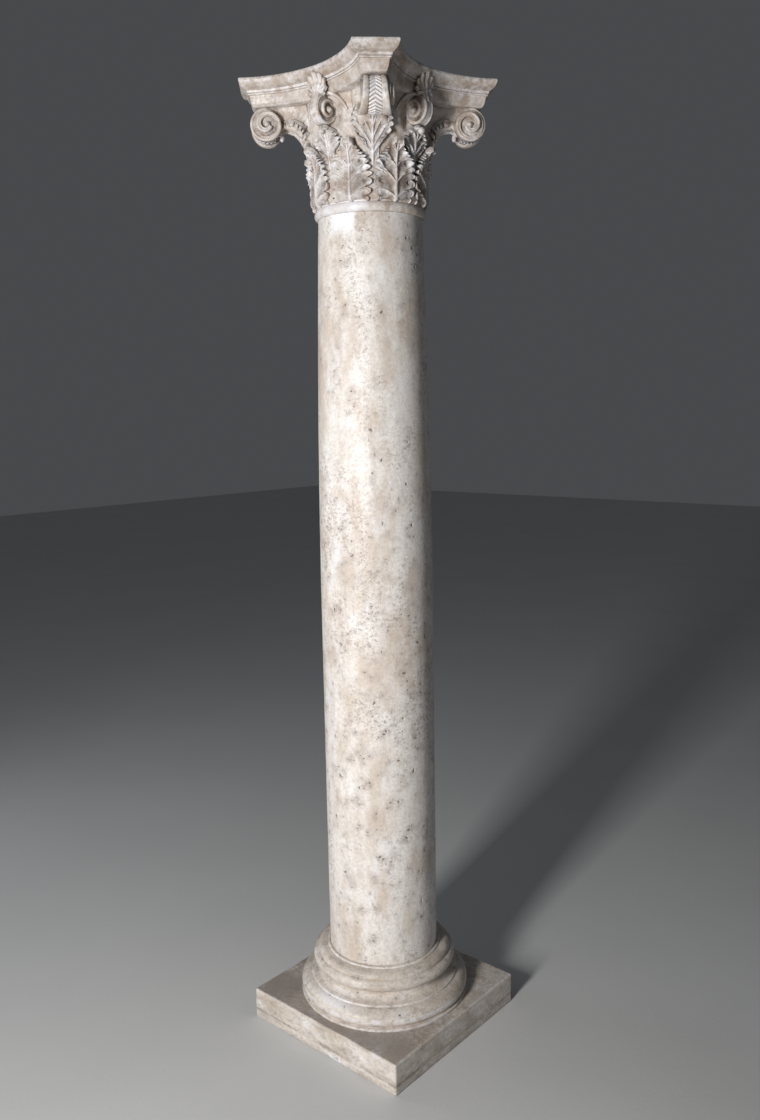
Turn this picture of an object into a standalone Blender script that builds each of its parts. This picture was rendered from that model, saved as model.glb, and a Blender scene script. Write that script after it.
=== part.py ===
"""A Corinthian column in three cast pieces: base, shaft and capital.

Metres, +Z up. The column stands on the origin, with the sides of its plinth along X and Y.
Every radial form of the capital is modelled looking out along +X and then turned into its place.
"""

import math

import bmesh
import bpy
from mathutils import Matrix, Vector

COLUMN = "corinthian column"
HEIGHT = 2.400
CAST_GAP = 0.0003

# Base: a square plinth, then torus, fillet, scotia, torus, cushion and a bead round the shaft.
PLINTH_SIDE = 0.501
PLINTH_HEIGHT = 0.082
PLINTH_EDGE = 0.004
LOWER_TORUS = 0.2245
FILLET = 0.1965
UPPER_TORUS = 0.1905
BEAD = 0.1525
SHAFT_SEAT = 0.2125

# Shaft: straight for its lower part, then the entasis draws it in.
SHAFT_FOOT = 0.144
SHAFT_NECK = 0.1268
ENTASIS_FROM = 1.09
ENTASIS_POWER = 1.7
SHAFT_TOP = 2.0865

# Capital: collar and bell.
COLLAR = 0.1348
COLLAR_NECK = 0.1262
BELL_FOOT = 0.132
BELL_LIP = 0.157

# Leaves: thick at the foot and thin at the tip, wrapped round the bell.
LEAF_FOOT = 2.112
LEAF_ROOT = 0.028
LEAF_TIP = 0.008
LEAF_WRAP = 0.145
LEAF_SLANT = 0.16
LEAF_RIB = 0.0045
LEAF_VEIN = 0.0026
LEAF_COLUMNS = (-1.0, -0.55, 0.0, 0.55, 1.0)

# Abacus: four hollow sides between cut corners.
ABACUS_CORNER = 0.304
ABACUS_MIDDLE = 0.187
ABACUS_HOLLOW = 0.280
ABACUS_UNDERSIDE = 2.334
ABACUS_STEPS = 6

# Corner volutes, and the small scrolls and palmettes at the middle of each side.
VOLUTE_EYE = (0.240, 2.303)
VOLUTE_SIZE = 0.0425
VOLUTE_HALF = 0.0255
VOLUTE_WEB = 0.032
SCROLL_EYE = (0.1545, 2.3085)
SCROLL_SIZE = 0.0365
SCROLL_HALF = 0.0142
SCROLL_WEB = 0.016
PALMETTE_RIBS = 4
PALMETTE_ROWS = 2

TURNED_STEPS = 32
CORNERS = [45 + 90 * k for k in range(4)]
MIDDLES = [90 * k for k in range(4)]
BETWEEN = [22.5 + 45 * k for k in range(8)]


def clear_scene():
    for obj in list(bpy.data.objects):
        bpy.data.objects.remove(obj, do_unlink=True)


def new_collection(name):
    collection = bpy.data.collections.new(name)
    bpy.context.scene.collection.children.link(collection)
    return collection


def cast_stone(name, colour, roughness):
    material = bpy.data.materials.new(name)
    material.use_nodes = True
    shader = material.node_tree.nodes["Principled BSDF"]
    shader.inputs["Base Color"].default_value = (*colour, 1.0)
    shader.inputs["Roughness"].default_value = roughness
    shader.inputs["Metallic"].default_value = 0.0
    return material


def solid(name, bm, collection, material=None):
    """An object from a closed bmesh, its faces turned outward."""
    bmesh.ops.recalc_face_normals(bm, faces=bm.faces[:])
    mesh = bpy.data.meshes.new(name)
    bm.to_mesh(mesh)
    bm.free()
    obj = bpy.data.objects.new(name, mesh)
    collection.objects.link(obj)
    if material:
        mesh.materials.append(material)
    return obj


def helper(name, bm, collection):
    """A shape that a Boolean joins to a piece, kept out of the render."""
    obj = solid(name, bm, collection)
    obj.hide_render = True
    obj.display_type = "WIRE"
    return obj


def turn(bm, degrees):
    """Turns a form that looks out along +X round to its place on the column."""
    spin = Matrix.Rotation(math.radians(degrees), 4, "Z")
    bmesh.ops.transform(bm, matrix=spin, verts=bm.verts[:])


def arc(centre, radii, start, end, steps):
    """Points (r, z) along an arc of an ellipse, angles in degrees from +r towards +z."""
    points = []
    for k in range(steps + 1):
        angle = math.radians(start + (end - start) * k / steps)
        points.append((centre[0] + radii[0] * math.cos(angle), centre[1] + radii[1] * math.sin(angle)))
    return points


def turned(name, profile, collection, material=None):
    """A profile of (r, z) from top to bottom, spun round Z with a Screw modifier."""
    mesh = bpy.data.meshes.new(name)
    points = [(r, 0.0, z) for r, z in profile]
    mesh.from_pydata(points, [(k, k + 1) for k in range(len(points) - 1)], [])
    if material:
        mesh.materials.append(material)
    obj = bpy.data.objects.new(name, mesh)
    collection.objects.link(obj)
    screw = obj.modifiers.new("Turn", "SCREW")
    screw.axis = "Z"
    screw.angle = 2 * math.pi
    screw.steps = TURNED_STEPS
    screw.render_steps = TURNED_STEPS
    screw.use_merge_vertices = True
    screw.merge_threshold = 0.0001
    screw.use_smooth_shade = True
    return obj


def tube(sections):
    """A closed body lofted through rings of equally many points, with flat ends."""
    bm = bmesh.new()
    rows = len(sections) - 1
    around = len(sections[0])
    bmesh.ops.create_grid(bm, x_segments=around, y_segments=rows, size=1.0)
    for vert in bm.verts:
        i = round((vert.co.x + 1) / 2 * around) % around
        j = round((vert.co.y + 1) / 2 * rows)
        vert.co = sections[j][i]
    bmesh.ops.remove_doubles(bm, verts=bm.verts[:], dist=1e-6)
    bmesh.ops.holes_fill(bm, edges=[edge for edge in bm.edges if edge.is_boundary], sides=0)
    return bm


def sheet(across, along, front, back):
    """A grid given thickness: front and back place its points from (i, j) of the grid."""
    bm = bmesh.new()
    bmesh.ops.create_grid(bm, x_segments=across, y_segments=along, size=1.0)
    grown = bmesh.ops.extrude_face_region(bm, geom=bm.faces[:])
    behind = {item for item in grown["geom"] if isinstance(item, bmesh.types.BMVert)}
    for vert in bm.verts:
        i = round((vert.co.x + 1) / 2 * across)
        j = round((vert.co.y + 1) / 2 * along)
        vert.co = back(i, j) if vert in behind else front(i, j)
    return bm


def join(obj, parts, name, solver="EXACT"):
    """Unites helper shapes with a piece in one Boolean.

    The capital's leaves and coils cross in too many places for the EXACT solver.
    """
    union = obj.modifiers.new(name, "BOOLEAN")
    union.operation = "UNION"
    union.solver = solver
    union.operand_type = "COLLECTION"
    union.collection = parts


def base_profile():
    """Attic base from the shaft's seat down into the plinth."""
    profile = [(0.0, SHAFT_SEAT), (SHAFT_FOOT + 0.0008, SHAFT_SEAT), (0.1482, SHAFT_SEAT + 0.0028)]
    profile += [(BEAD, 0.2110), (0.1660, 0.2085), (0.1770, 0.2000), (0.1785, 0.1962)]
    profile += arc((UPPER_TORUS - 0.0150, 0.1800), (0.0150, 0.0160), 55, -58, 3)
    profile += [(0.1735, 0.1490), (0.1890, 0.1362), (FILLET, 0.1350), (FILLET, 0.1305)]
    profile += arc((FILLET - 0.0030, 0.1040), (LOWER_TORUS - FILLET + 0.0020, 0.0250), 70, -25, 3)
    profile += [(LOWER_TORUS, 0.0890), (LOWER_TORUS, PLINTH_HEIGHT - 0.004), (0.0, PLINTH_HEIGHT - 0.004)]
    return profile


def make_base(collection, helpers, material):
    base = turned("base", base_profile(), collection, material)
    plinth = bmesh.new()
    bmesh.ops.create_cube(plinth, size=1.0)
    bmesh.ops.scale(plinth, vec=(PLINTH_SIDE, PLINTH_SIDE, PLINTH_HEIGHT), verts=plinth.verts[:])
    bmesh.ops.translate(plinth, vec=(0, 0, PLINTH_HEIGHT / 2), verts=plinth.verts[:])
    bmesh.ops.bevel(
        plinth,
        geom=plinth.edges[:],
        offset=PLINTH_EDGE,
        offset_type="OFFSET",
        affect="EDGES",
        segments=2,
        profile=0.5,
        material=-1,
    )
    group = new_helper_group("plinth", helpers)
    helper("plinth slab", plinth, group)
    join(base, group, "Join plinth")
    return base


def new_helper_group(name, helpers):
    group = bpy.data.collections.new(name)
    helpers.children.link(group)
    return group


def shaft_radius(z):
    if z <= ENTASIS_FROM:
        return SHAFT_FOOT
    rise = (z - ENTASIS_FROM) / (SHAFT_TOP - ENTASIS_FROM)
    return SHAFT_FOOT - (SHAFT_FOOT - SHAFT_NECK) * rise**ENTASIS_POWER


def make_shaft(collection, material):
    top = SHAFT_TOP - CAST_GAP
    foot = SHAFT_SEAT + CAST_GAP
    steps = 4
    levels = [top + (ENTASIS_FROM - top) * k / steps for k in range(steps + 1)] + [foot]
    profile = [(0.0, top)] + [(shaft_radius(z), z) for z in levels] + [(0.0, foot)]
    return turned("shaft", profile, collection, material)


def bell_profile():
    """Collar roll, its hollow neck, and the bell that flares up into the abacus."""
    profile = [(0.0, 2.345), (BELL_LIP, 2.345), (0.1500, 2.295), (0.1400, 2.232)]
    profile += [(BELL_FOOT, 2.122), (0.1365, 2.1140), (0.1305, 2.1090)]
    profile += arc((COLLAR_NECK, 2.0975), (COLLAR - COLLAR_NECK, 0.0095), 50, -75, 3)
    profile += [(COLLAR_NECK, SHAFT_TOP), (0.0, SHAFT_TOP)]
    return profile


def abacus_outline(inset, height):
    """Hollow sides between cut corners, all moved in by the same inset."""
    corner = ABACUS_CORNER - inset
    hollow = ABACUS_HOLLOW + inset
    centre = ABACUS_MIDDLE + ABACUS_HOLLOW
    # A cut corner crosses the circle of a hollow side at this distance from the diagonal.
    from_centre = centre / math.sqrt(2)
    half_cut = from_centre - math.sqrt(hollow**2 - (from_centre - corner) ** 2)
    end = Matrix.Rotation(math.pi / 4, 2) @ Vector((corner, -half_cut))
    spread = math.atan2(end.y, centre - end.x)
    points = []
    for side in range(4):
        facing = Matrix.Rotation(math.pi / 2 * side, 2)
        for k in range(ABACUS_STEPS + 1):
            along = spread * (2 * k / ABACUS_STEPS - 1)
            spot = facing @ Vector((centre - hollow * math.cos(along), hollow * math.sin(along)))
            points.append((spot.x, spot.y, height))
    return points


def abacus():
    """Ovolo, fillet and cavetto from the top edge down, as (inset, z)."""
    moulding = [(0.0, HEIGHT), (0.0005, 2.3910), (0.0070, 2.3780), (0.0185, 2.3705)]
    moulding += [(0.0235, 2.3655), (0.0265, 2.3520), (0.0300, 2.3380), (0.0340, ABACUS_UNDERSIDE)]
    return tube([abacus_outline(inset, z) for inset, z in moulding])


def coil(eye, size, pitch, turns, steps, thick, half, flare, channel):
    """A band coiled in from over its eye, widening by the flare as it goes in.

    Its outer face is sunk between two rims, and its last turn is filled in as the eye.
    """
    sections = []
    for k in range(steps + 1):
        done = turns * k / steps
        angle = math.pi / 2 - 2 * math.pi * done
        outer = size - pitch * done
        wall = thick if k < steps - 2 else outer - 0.001
        side = half + flare * k / steps
        edge = [(-side, wall), (-side, 0.0), (-side * 0.62, channel)]
        edge += [(-across, depth) for across, depth in reversed(edge)]
        ring = []
        for across, depth in edge:
            reach = outer - depth
            ring.append((eye[0] + reach * math.cos(angle), across, eye[1] + reach * math.sin(angle)))
        sections.append(ring)
    return tube(sections)


def volute_arm():
    """The arm that carries a corner coil out from the bell, spreading where it leaves the bell."""
    stations = [(0.232, 0.0225, 2.331), (0.212, 0.0230, 2.318), (0.196, 0.0250, 2.303)]
    stations += [(0.178, 0.0310, 2.286), (0.158, 0.0400, 2.262), (0.122, 0.0480, 2.238)]
    top = ABACUS_UNDERSIDE + 0.010
    sections = []
    for r, half, low in stations:
        sections.append([(r, -half, low), (r, half, low), (r, half * 1.08, top), (r, -half * 1.08, top)])
    return tube(sections)


def coil_web(eye, radius, width):
    """The recessed disc between the turns of a coil."""
    bm = bmesh.new()
    bmesh.ops.create_cone(bm, cap_ends=True, segments=10, radius1=radius, radius2=radius, depth=width)
    bmesh.ops.rotate(bm, cent=(0, 0, 0), matrix=Matrix.Rotation(math.pi / 2, 3, "X"), verts=bm.verts[:])
    bmesh.ops.translate(bm, vec=(eye[0], 0, eye[1]), verts=bm.verts[:])
    return bm


def corner_volute(degrees, group):
    band = coil(
        eye=VOLUTE_EYE,
        size=VOLUTE_SIZE,
        pitch=0.0145,
        turns=1.75,
        steps=16,
        thick=0.0105,
        half=VOLUTE_HALF,
        flare=0.0085,
        channel=0.0045,
    )
    web = coil_web(VOLUTE_EYE, VOLUTE_SIZE * 0.78, VOLUTE_WEB)
    for name, form in (("coil", band), ("web", web), ("arm", volute_arm())):
        turn(form, degrees)
        helper(f"corner {name} {degrees}", form, group)


def middle_scroll(degrees, group):
    band = coil(
        eye=SCROLL_EYE,
        size=SCROLL_SIZE,
        pitch=0.0125,
        turns=1.5,
        steps=12,
        thick=0.0085,
        half=SCROLL_HALF,
        flare=0.0020,
        channel=0.0025,
    )
    web = coil_web(SCROLL_EYE, SCROLL_SIZE * 0.78, SCROLL_WEB)
    for name, form in (("coil", band), ("web", web)):
        turn(form, degrees)
        helper(f"scroll {name} {degrees}", form, group)


def along_curve(points, share):
    """A point and its outward normal on a smooth curve through (r, z) points."""
    spot = share * (len(points) - 1)
    k = min(int(spot), len(points) - 2)
    t = spot - k
    p0, p1 = points[max(k - 1, 0)], points[k]
    p2, p3 = points[k + 1], points[min(k + 2, len(points) - 1)]
    place = []
    slope = []
    for a, b, c, d in zip(p0, p1, p2, p3):
        place.append(
            0.5 * (2 * b + (c - a) * t + (2 * a - 5 * b + 4 * c - d) * t**2 + (3 * b - a - 3 * c + d) * t**3)
        )
        slope.append(0.5 * ((c - a) + 2 * (2 * a - 5 * b + 4 * c - d) * t + 3 * (3 * b - a - 3 * c + d) * t**2))
    length = math.hypot(*slope)
    return place, (slope[1] / length, -slope[0] / length)


def blend(values, share):
    """The value at a share of the way along a list, straight from one to the next."""
    spot = share * (len(values) - 1)
    k = min(int(spot), len(values) - 2)
    return values[k] + (values[k + 1] - values[k]) * (spot - k)


def leaf_rows(lobes):
    """(share of the length, reach of the edge, lift): a raised vein and its lobe, then a sunk notch."""
    rows = [(0.0, 1.0, 0.0)]
    for k in range(lobes):
        rows.append(((k + 0.20) / (lobes + 1), 1.0, LEAF_VEIN))
        rows.append(((k + 0.80) / (lobes + 1), 0.70, -LEAF_VEIN / 2))
    rows.append(((lobes + 0.35) / (lobes + 1), 1.0, LEAF_VEIN))
    rows.append((1.0, 0.45, 0.0))
    return rows


def leaf(degrees, group, name, line, widths, lobes):
    """An acanthus leaf: a line up the bell, half widths along it, lobes and veins, a raised rib.

    The rows of its grid slant upward from the rib to the edge, as the veins do.
    """
    rows = leaf_rows(lobes)

    def place(i, j, depth):
        share, reach, lift = rows[j]
        u = LEAF_COLUMNS[i]
        edge = abs(u) == 1.0
        if j:
            share += LEAF_SLANT * abs(u) * (1 - share)
        if depth == 0.0:
            depth = LEAF_RIB if u == 0.0 else lift * (0.3 if edge else 1.0)
        (r, z), normal = along_curve(line, share)
        side = u * blend(widths, share) * (reach if edge else 0.9)
        r += normal[0] * depth
        z += normal[1] * depth
        angle = side / max(r, LEAF_WRAP)
        return (r * math.cos(angle), r * math.sin(angle), z)

    def back(i, j):
        return place(i, j, -blend((LEAF_ROOT, LEAF_TIP), rows[j][0]))

    bm = sheet(len(LEAF_COLUMNS) - 1, len(rows) - 1, lambda i, j: place(i, j, 0.0), back)
    turn(bm, degrees)
    helper(f"{name} {degrees}", bm, group)


def lower_leaf(degrees, group):
    line = [(0.1440, LEAF_FOOT), (0.1460, 2.140), (0.1475, 2.170), (0.1505, 2.200), (0.1575, 2.223)]
    line += [(0.1660, 2.2365), (0.1735, 2.2370)]
    leaf(degrees, group, "lower leaf", line, (0.047, 0.051, 0.053, 0.047, 0.035, 0.016), 3)


def corner_leaf(degrees, group):
    line = [(0.1390, 2.116), (0.1455, 2.175), (0.1510, 2.220), (0.1580, 2.248), (0.1700, 2.270)]
    line += [(0.1860, 2.282), (0.2000, 2.280), (0.2080, 2.268)]
    leaf(degrees, group, "corner leaf", line, (0.016, 0.016, 0.026, 0.043, 0.046, 0.036, 0.016), 2)


def middle_leaf(degrees, group):
    line = [(0.1390, 2.116), (0.1450, 2.175), (0.1500, 2.220), (0.1550, 2.245), (0.1640, 2.262)]
    line += [(0.1760, 2.269), (0.1860, 2.260)]
    leaf(degrees, group, "middle leaf", line, (0.016, 0.016, 0.026, 0.038, 0.036, 0.025, 0.012), 2)


def palmette(degrees, group):
    """A fan of ribs that rises from the small scroll and spreads over the abacus."""
    line = [(0.1775, 2.330), (0.1745, 2.343), (0.1735, 2.356), (0.1785, 2.372), (0.1890, 2.389)]
    halves = (0.012, 0.014, 0.022, 0.029, 0.031)

    def place(i, j, behind):
        share = j / PALMETTE_ROWS
        u = i / PALMETTE_RIBS - 1
        crest = math.sqrt(1 - u**2)
        (r, z), normal = along_curve(line, share * (0.62 + 0.38 * crest))
        depth = -0.026 + 0.010 * share if behind else 0.003 * share * (i % 2)
        return (r + normal[0] * depth, u * blend(halves, share), z + normal[1] * depth)

    ribs = 2 * PALMETTE_RIBS
    bm = sheet(ribs, PALMETTE_ROWS, lambda i, j: place(i, j, False), lambda i, j: place(i, j, True))
    turn(bm, degrees)
    helper(f"palmette {degrees}", bm, group)


def make_capital(collection, helpers, material):
    capital = turned("capital", bell_profile(), collection, material)
    makers = (
        ("lower leaves", lower_leaf, BETWEEN),
        ("corner leaves", corner_leaf, CORNERS),
        ("middle leaves", middle_leaf, MIDDLES),
        ("volutes", corner_volute, CORNERS),
        ("scrolls", middle_scroll, MIDDLES),
        ("palmettes", palmette, MIDDLES),
    )
    for name, maker, places in makers:
        group = new_helper_group(name, helpers)
        for degrees in places:
            maker(degrees, group)
        join(capital, group, f"Join {name}", "MANIFOLD")
    group = new_helper_group("abacus", helpers)
    helper("abacus slab", abacus(), group)
    join(capital, group, "Join abacus", "MANIFOLD")
    return capital


def main():
    clear_scene()
    pieces = new_collection(COLUMN)
    helpers = new_collection("joined shapes")
    helpers.hide_render = True
    make_base(pieces, helpers, cast_stone("aged cast stone, base", (0.50, 0.43, 0.35), 0.45))
    make_shaft(pieces, cast_stone("aged cast stone, shaft", (0.66, 0.57, 0.46), 0.55))
    make_capital(pieces, helpers, cast_stone("aged cast stone, capital", (0.58, 0.50, 0.41), 0.60))


main()
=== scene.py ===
"""Looks of the Corinthian column: turned base and shaft with worn pits, and the carved capital.

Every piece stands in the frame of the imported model, in metres, +Z up. Radial forms of the capital
are shaped looking out along +X and then turned into their places.
"""

import math
import random

import bmesh
import bpy
import numpy as np
from mathutils import Matrix, Vector
from mathutils.bvhtree import BVHTree


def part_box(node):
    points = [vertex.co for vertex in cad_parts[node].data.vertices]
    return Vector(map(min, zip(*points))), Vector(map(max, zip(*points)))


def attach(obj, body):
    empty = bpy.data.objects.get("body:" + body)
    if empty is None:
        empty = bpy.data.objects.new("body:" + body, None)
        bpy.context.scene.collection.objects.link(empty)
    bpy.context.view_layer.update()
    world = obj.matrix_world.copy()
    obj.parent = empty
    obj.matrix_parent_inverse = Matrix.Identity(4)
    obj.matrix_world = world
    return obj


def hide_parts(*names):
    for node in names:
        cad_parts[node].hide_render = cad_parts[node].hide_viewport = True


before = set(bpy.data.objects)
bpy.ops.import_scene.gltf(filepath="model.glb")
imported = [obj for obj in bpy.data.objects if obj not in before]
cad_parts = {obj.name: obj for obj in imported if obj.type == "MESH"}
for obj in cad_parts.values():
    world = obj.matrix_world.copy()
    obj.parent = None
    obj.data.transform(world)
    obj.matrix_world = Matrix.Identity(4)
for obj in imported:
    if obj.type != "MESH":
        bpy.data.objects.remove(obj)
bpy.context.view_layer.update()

# Outer sizes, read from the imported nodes.
BASE_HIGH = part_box("base")[1]
SHAFT_LOW, SHAFT_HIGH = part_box("shaft")
CAPITAL_LOW, CAPITAL_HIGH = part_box("capital")
HEIGHT = CAPITAL_HIGH.z
PLINTH_HALF = BASE_HIGH.x
SHAFT_FOOT = SHAFT_HIGH.x

# Base and shaft: heights, radii and the count of their pits.
PLINTH_HEIGHT = 0.082
PLINTH_CREASE = 0.026
LOWER_TORUS = 0.2245
BASE_FILLET = 0.1970
UPPER_TORUS = 0.1905
BEAD = 0.1523
BASE_PITS = 46
SHAFT_NECK = 0.1268
ENTASIS_FROM = 1.09
ENTASIS_POWER = 1.7
SHAFT_PITS = 780

# Capital: collar, leaves, abacus, volutes and scrolls. Places in its sections are (r, z).
COLLAR = 0.1348
COLLAR_NECK = 0.1262
COLLAR_TOP = 2.1115
LEAF_WRAP = 0.145
MIDDLE_TIP = (0.1625, 2.2655)
CORNER_TIP = (0.2075, 2.2790)
ABACUS_CORNER = 0.304
ABACUS_MIDDLE = 0.187
ABACUS_HOLLOW = 0.280
ABACUS_UNDERSIDE = 2.3415
LOWER_FILLET = 2.3680
CUTS_VANISH = 0.060
VOLUTE_EYE = (0.240, 2.301)
SCROLL_EYE = (0.1545, 2.3085)

# Places of the carving round the column, in degrees. One lower leaf at the front is half worn away.
CORNERS = [45 + 90 * k for k in range(4)]
MIDDLES = [90 * k for k in range(4)]
BETWEEN = [22.5 + 45 * k for k in range(8)]
WORN_LEAF = 292.5

# How finely the pieces are cut.
SHAFT_AROUND = 124
SHAFT_ROW = 0.0072
TURNED_AROUND = 200
HOLLOW_STEPS = 56
CUT_STEPS = 24
VOLUTE_ROWS = 250
SCROLL_ROWS = 140

# How far round a place the faces that close it in are looked for.
RECESS_REACH = 0.030

# Camera at the photograph's viewing angle.
IMAGE_HEIGHT = 1120
FOCAL_PIXELS = 966.3
EYE_LEVEL = 1.627
EYE_DISTANCE = 2.453
VIEW_TURN = 41.4
VIEW_DOWN = 8.686
VIEW_YAW = 0.207
VIEW_ROLL = 1.059

# Stage.
FLOOR_HALF = 14.0
LIGHTS_AIM = (0, 0, 1.3)


def smooth_line(points, steps=20):
    """Places along a smooth curve through a few points, in two or three dimensions."""
    knots = np.array([points[0], *points, points[-1]], float)
    t = np.linspace(0, 1, steps, endpoint=False)[:, None]
    runs = []
    for a, b, c, d in zip(knots, knots[1:], knots[2:], knots[3:]):
        bend = (2 * a - 5 * b + 4 * c - d) * t**2 + (3 * b - a - 3 * c + d) * t**3
        runs.append(0.5 * (2 * b + (c - a) * t + bend))
    return np.vstack([*runs, knots[-1:]])


def length_of(line):
    return float(np.linalg.norm(np.diff(line, axis=0), axis=1).sum())


def read_line(line, share):
    """Places and runs at shares of a line's length, in two or three dimensions."""
    steps = np.linalg.norm(np.diff(line, axis=0), axis=1)
    reach = np.concatenate([[0.0], np.cumsum(steps)]) / steps.sum()
    slope = np.gradient(line, reach, axis=0)
    slope /= np.linalg.norm(slope, axis=1, keepdims=True)
    axes = range(line.shape[1])
    place = np.stack([np.interp(share, reach, line[:, k]) for k in axes], -1)
    run = np.stack([np.interp(share, reach, slope[:, k]) for k in axes], -1)
    return place, run


def along(line, share):
    """Places and outward normals at shares of a line's length, the line running upward."""
    place, run = read_line(line, share)
    return place, np.stack([run[:, 1], -run[:, 0]], -1)


def arc(centre, radii, start, end, steps):
    """Points (r, z) along an arc of an ellipse, angles in degrees from +r towards +z."""
    angle = np.radians(np.linspace(start, end, steps + 1))
    across = centre[0] + radii[0] * np.cos(angle)
    return list(zip(across, centre[1] + radii[1] * np.sin(angle)))


def read_off(pairs, at):
    """Values at some places from (place, value) pairs, in straight runs between them."""
    spots, values = zip(*pairs)
    return np.interp(at, spots, values)


def soft_step(x, low, high):
    """0 up to low and 1 from high on, with a smooth rise between."""
    t = np.clip((x - low) / (high - low), 0, 1)
    return t * t * (3 - 2 * t)


def band(x, start, full, fade, end):
    """1 between full and fade, falling smoothly to 0 at start and end."""
    return soft_step(x, start, full) * (1 - soft_step(x, fade, end))


def hump(gap, width):
    """1 where the gap is 0, falling away smoothly to nearly 0 at twice the width."""
    return np.exp(-((gap / width) ** 2))


def unevenness(points, size, seed):
    """A gentle swell, mostly between -1 and 1, with humps about size across, the same every time."""
    rng = np.random.default_rng(seed)
    total = np.zeros(len(points))
    for _ in range(9):
        way = rng.normal(size=3)
        way *= rng.uniform(0.7, 1.5) * 2 * math.pi / size / np.linalg.norm(way)
        total += np.sin(points @ way + rng.uniform(0, 2 * math.pi))
    return total / 4.5


def vertex_places(mesh):
    places = np.empty(len(mesh.vertices) * 3, np.float32)
    mesh.vertices.foreach_get("co", places)
    return places.reshape(-1, 3).astype(float)


def set_places(mesh, places):
    mesh.vertices.foreach_set("co", places.astype(np.float32).ravel())


def outward(places):
    """How far each place is from the column's axis, and the level direction away from it."""
    radius = np.hypot(places[:, 0], places[:, 1])
    return radius, places * (1, 1, 0) / np.maximum(radius, 1e-6)[:, None]


def from_view(places):
    """Degrees round the column from the camera's side, growing to the right of the photograph."""
    turn = np.degrees(np.arctan2(places[:, 1], places[:, 0])) - (VIEW_TURN - 90)
    return (turn + 180) % 360 - 180


def pattern(bm, name):
    """What was built in a bmesh, as a mesh to be moved into shape."""
    mesh = bpy.data.meshes.new(name)
    bmesh.ops.recalc_face_normals(bm, faces=bm.faces[:])
    bm.to_mesh(mesh)
    bm.free()
    return mesh


def slab_pattern(columns, rows, cuts):
    """A sheet from -1 to 1 with a fine front at z 0 and a plain back at z -1, closed round its edge."""
    bm = bmesh.new()
    bmesh.ops.create_grid(bm, x_segments=columns, y_segments=rows, size=1.0)
    grown = bmesh.ops.extrude_face_region(bm, geom=bm.faces[:])
    behind = [item for item in grown["geom"] if isinstance(item, bmesh.types.BMVert)]
    bmesh.ops.translate(bm, vec=(0, 0, -1), verts=behind)
    front = [edge for edge in bm.edges if all(vert.co.z > -0.5 for vert in edge.verts)]
    bmesh.ops.subdivide_edges(bm, edges=front, cuts=cuts, use_grid_fill=True)
    return pattern(bm, "slab pattern")


def tube_pattern(around, lengths):
    """A round tube of radius 1 from z 0 to 1 with closed ends, with rings of vertices all along it."""
    bm = bmesh.new()
    bmesh.ops.create_cone(bm, cap_ends=True, segments=around, radius1=1, radius2=1, depth=1)
    bmesh.ops.translate(bm, vec=(0, 0, 0.5), verts=bm.verts[:])
    upright = [edge for edge in bm.edges if abs(edge.verts[0].co.z - edge.verts[1].co.z) > 0.5]
    bmesh.ops.subdivide_edges(bm, edges=upright, cuts=lengths - 1)
    return pattern(bm, "tube pattern")


def tube_column(flat, around):
    """Which lengthwise line of a tube pattern each place is on, counted round from the first."""
    turn = np.arctan2(flat[:, 1], flat[:, 0])
    first = turn[np.abs(flat[:, 2]) < 1e-6].min()
    return np.rint((turn - first) / (2 * math.pi) * around).astype(int) % around


def turned(mesh, degrees):
    mesh.transform(Matrix.Rotation(math.radians(degrees), 4, "Z"))
    return mesh


def shaped(sample, places, degrees=0.0):
    """A copy of a pattern moved to its places and turned about the column."""
    mesh = sample.copy()
    set_places(mesh, places)
    return turned(mesh, degrees)


def piece(name, parts, material, node, smooth):
    """One object from parts of (mesh, raised, pit, stain, pale), the marks that its finish reads.

    A mark that a part leaves out is 0 there. Edges sharper than smooth, in degrees, stay sharp.
    """
    bm = bmesh.new()
    marks = []
    for mesh, *given in parts:
        bm.from_mesh(mesh)
        given = (*given, 0.0, 0.0, 0.0)[:4]
        marks.append(np.stack([np.broadcast_to(values, len(mesh.vertices)) for values in given]))
        bpy.data.meshes.remove(mesh)
    bmesh.ops.recalc_face_normals(bm, faces=bm.faces[:])
    mesh = bpy.data.meshes.new(name)
    bm.to_mesh(mesh)
    bm.free()
    for kind, values in zip(("raised", "pit", "stain_and_shade", "pale"), np.concatenate(marks, axis=1)):
        note(mesh, kind, values)
    mesh.shade_smooth()
    mesh.set_sharp_from_angle(angle=math.radians(smooth))
    mesh.materials.append(material)
    obj = bpy.data.objects.new(name, mesh)
    bpy.context.scene.collection.objects.link(obj)
    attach(obj, "root")
    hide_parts(node)
    return obj


def note(mesh, name, values):
    """Keeps one number for each place of a mesh, for the materials to read."""
    layer = mesh.attributes.get(name) or mesh.attributes.new(name, "FLOAT", "POINT")
    layer.data.foreach_set("value", np.asarray(values, np.float32))


def spun(profile, steps):
    """A profile of (r, z) from top to bottom, spun round Z and closed at its ends."""
    bm = bmesh.new()
    verts = [bm.verts.new((r, 0, z)) for r, z in profile]
    edges = [bm.edges.new(pair) for pair in zip(verts, verts[1:])]
    bmesh.ops.spin(
        bm,
        geom=verts + edges,
        axis=(0, 0, 1),
        cent=(0, 0, 0),
        angle=2 * math.pi,
        steps=steps,
        use_merge=True,
    )
    bmesh.ops.remove_doubles(bm, verts=bm.verts[:], dist=1e-5)
    return bm


def even_profile(points, spacing):
    """The same profile with points no further apart than the spacing."""
    out = [points[0]]
    for start, end in zip(points, points[1:]):
        gap = math.dist(start, end)
        parts = max(1, math.ceil(gap / spacing))
        for k in range(1, parts + 1):
            out.append(tuple(a + (b - a) * k / parts for a, b in zip(start, end)))
    return out


# Turned pieces


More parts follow.
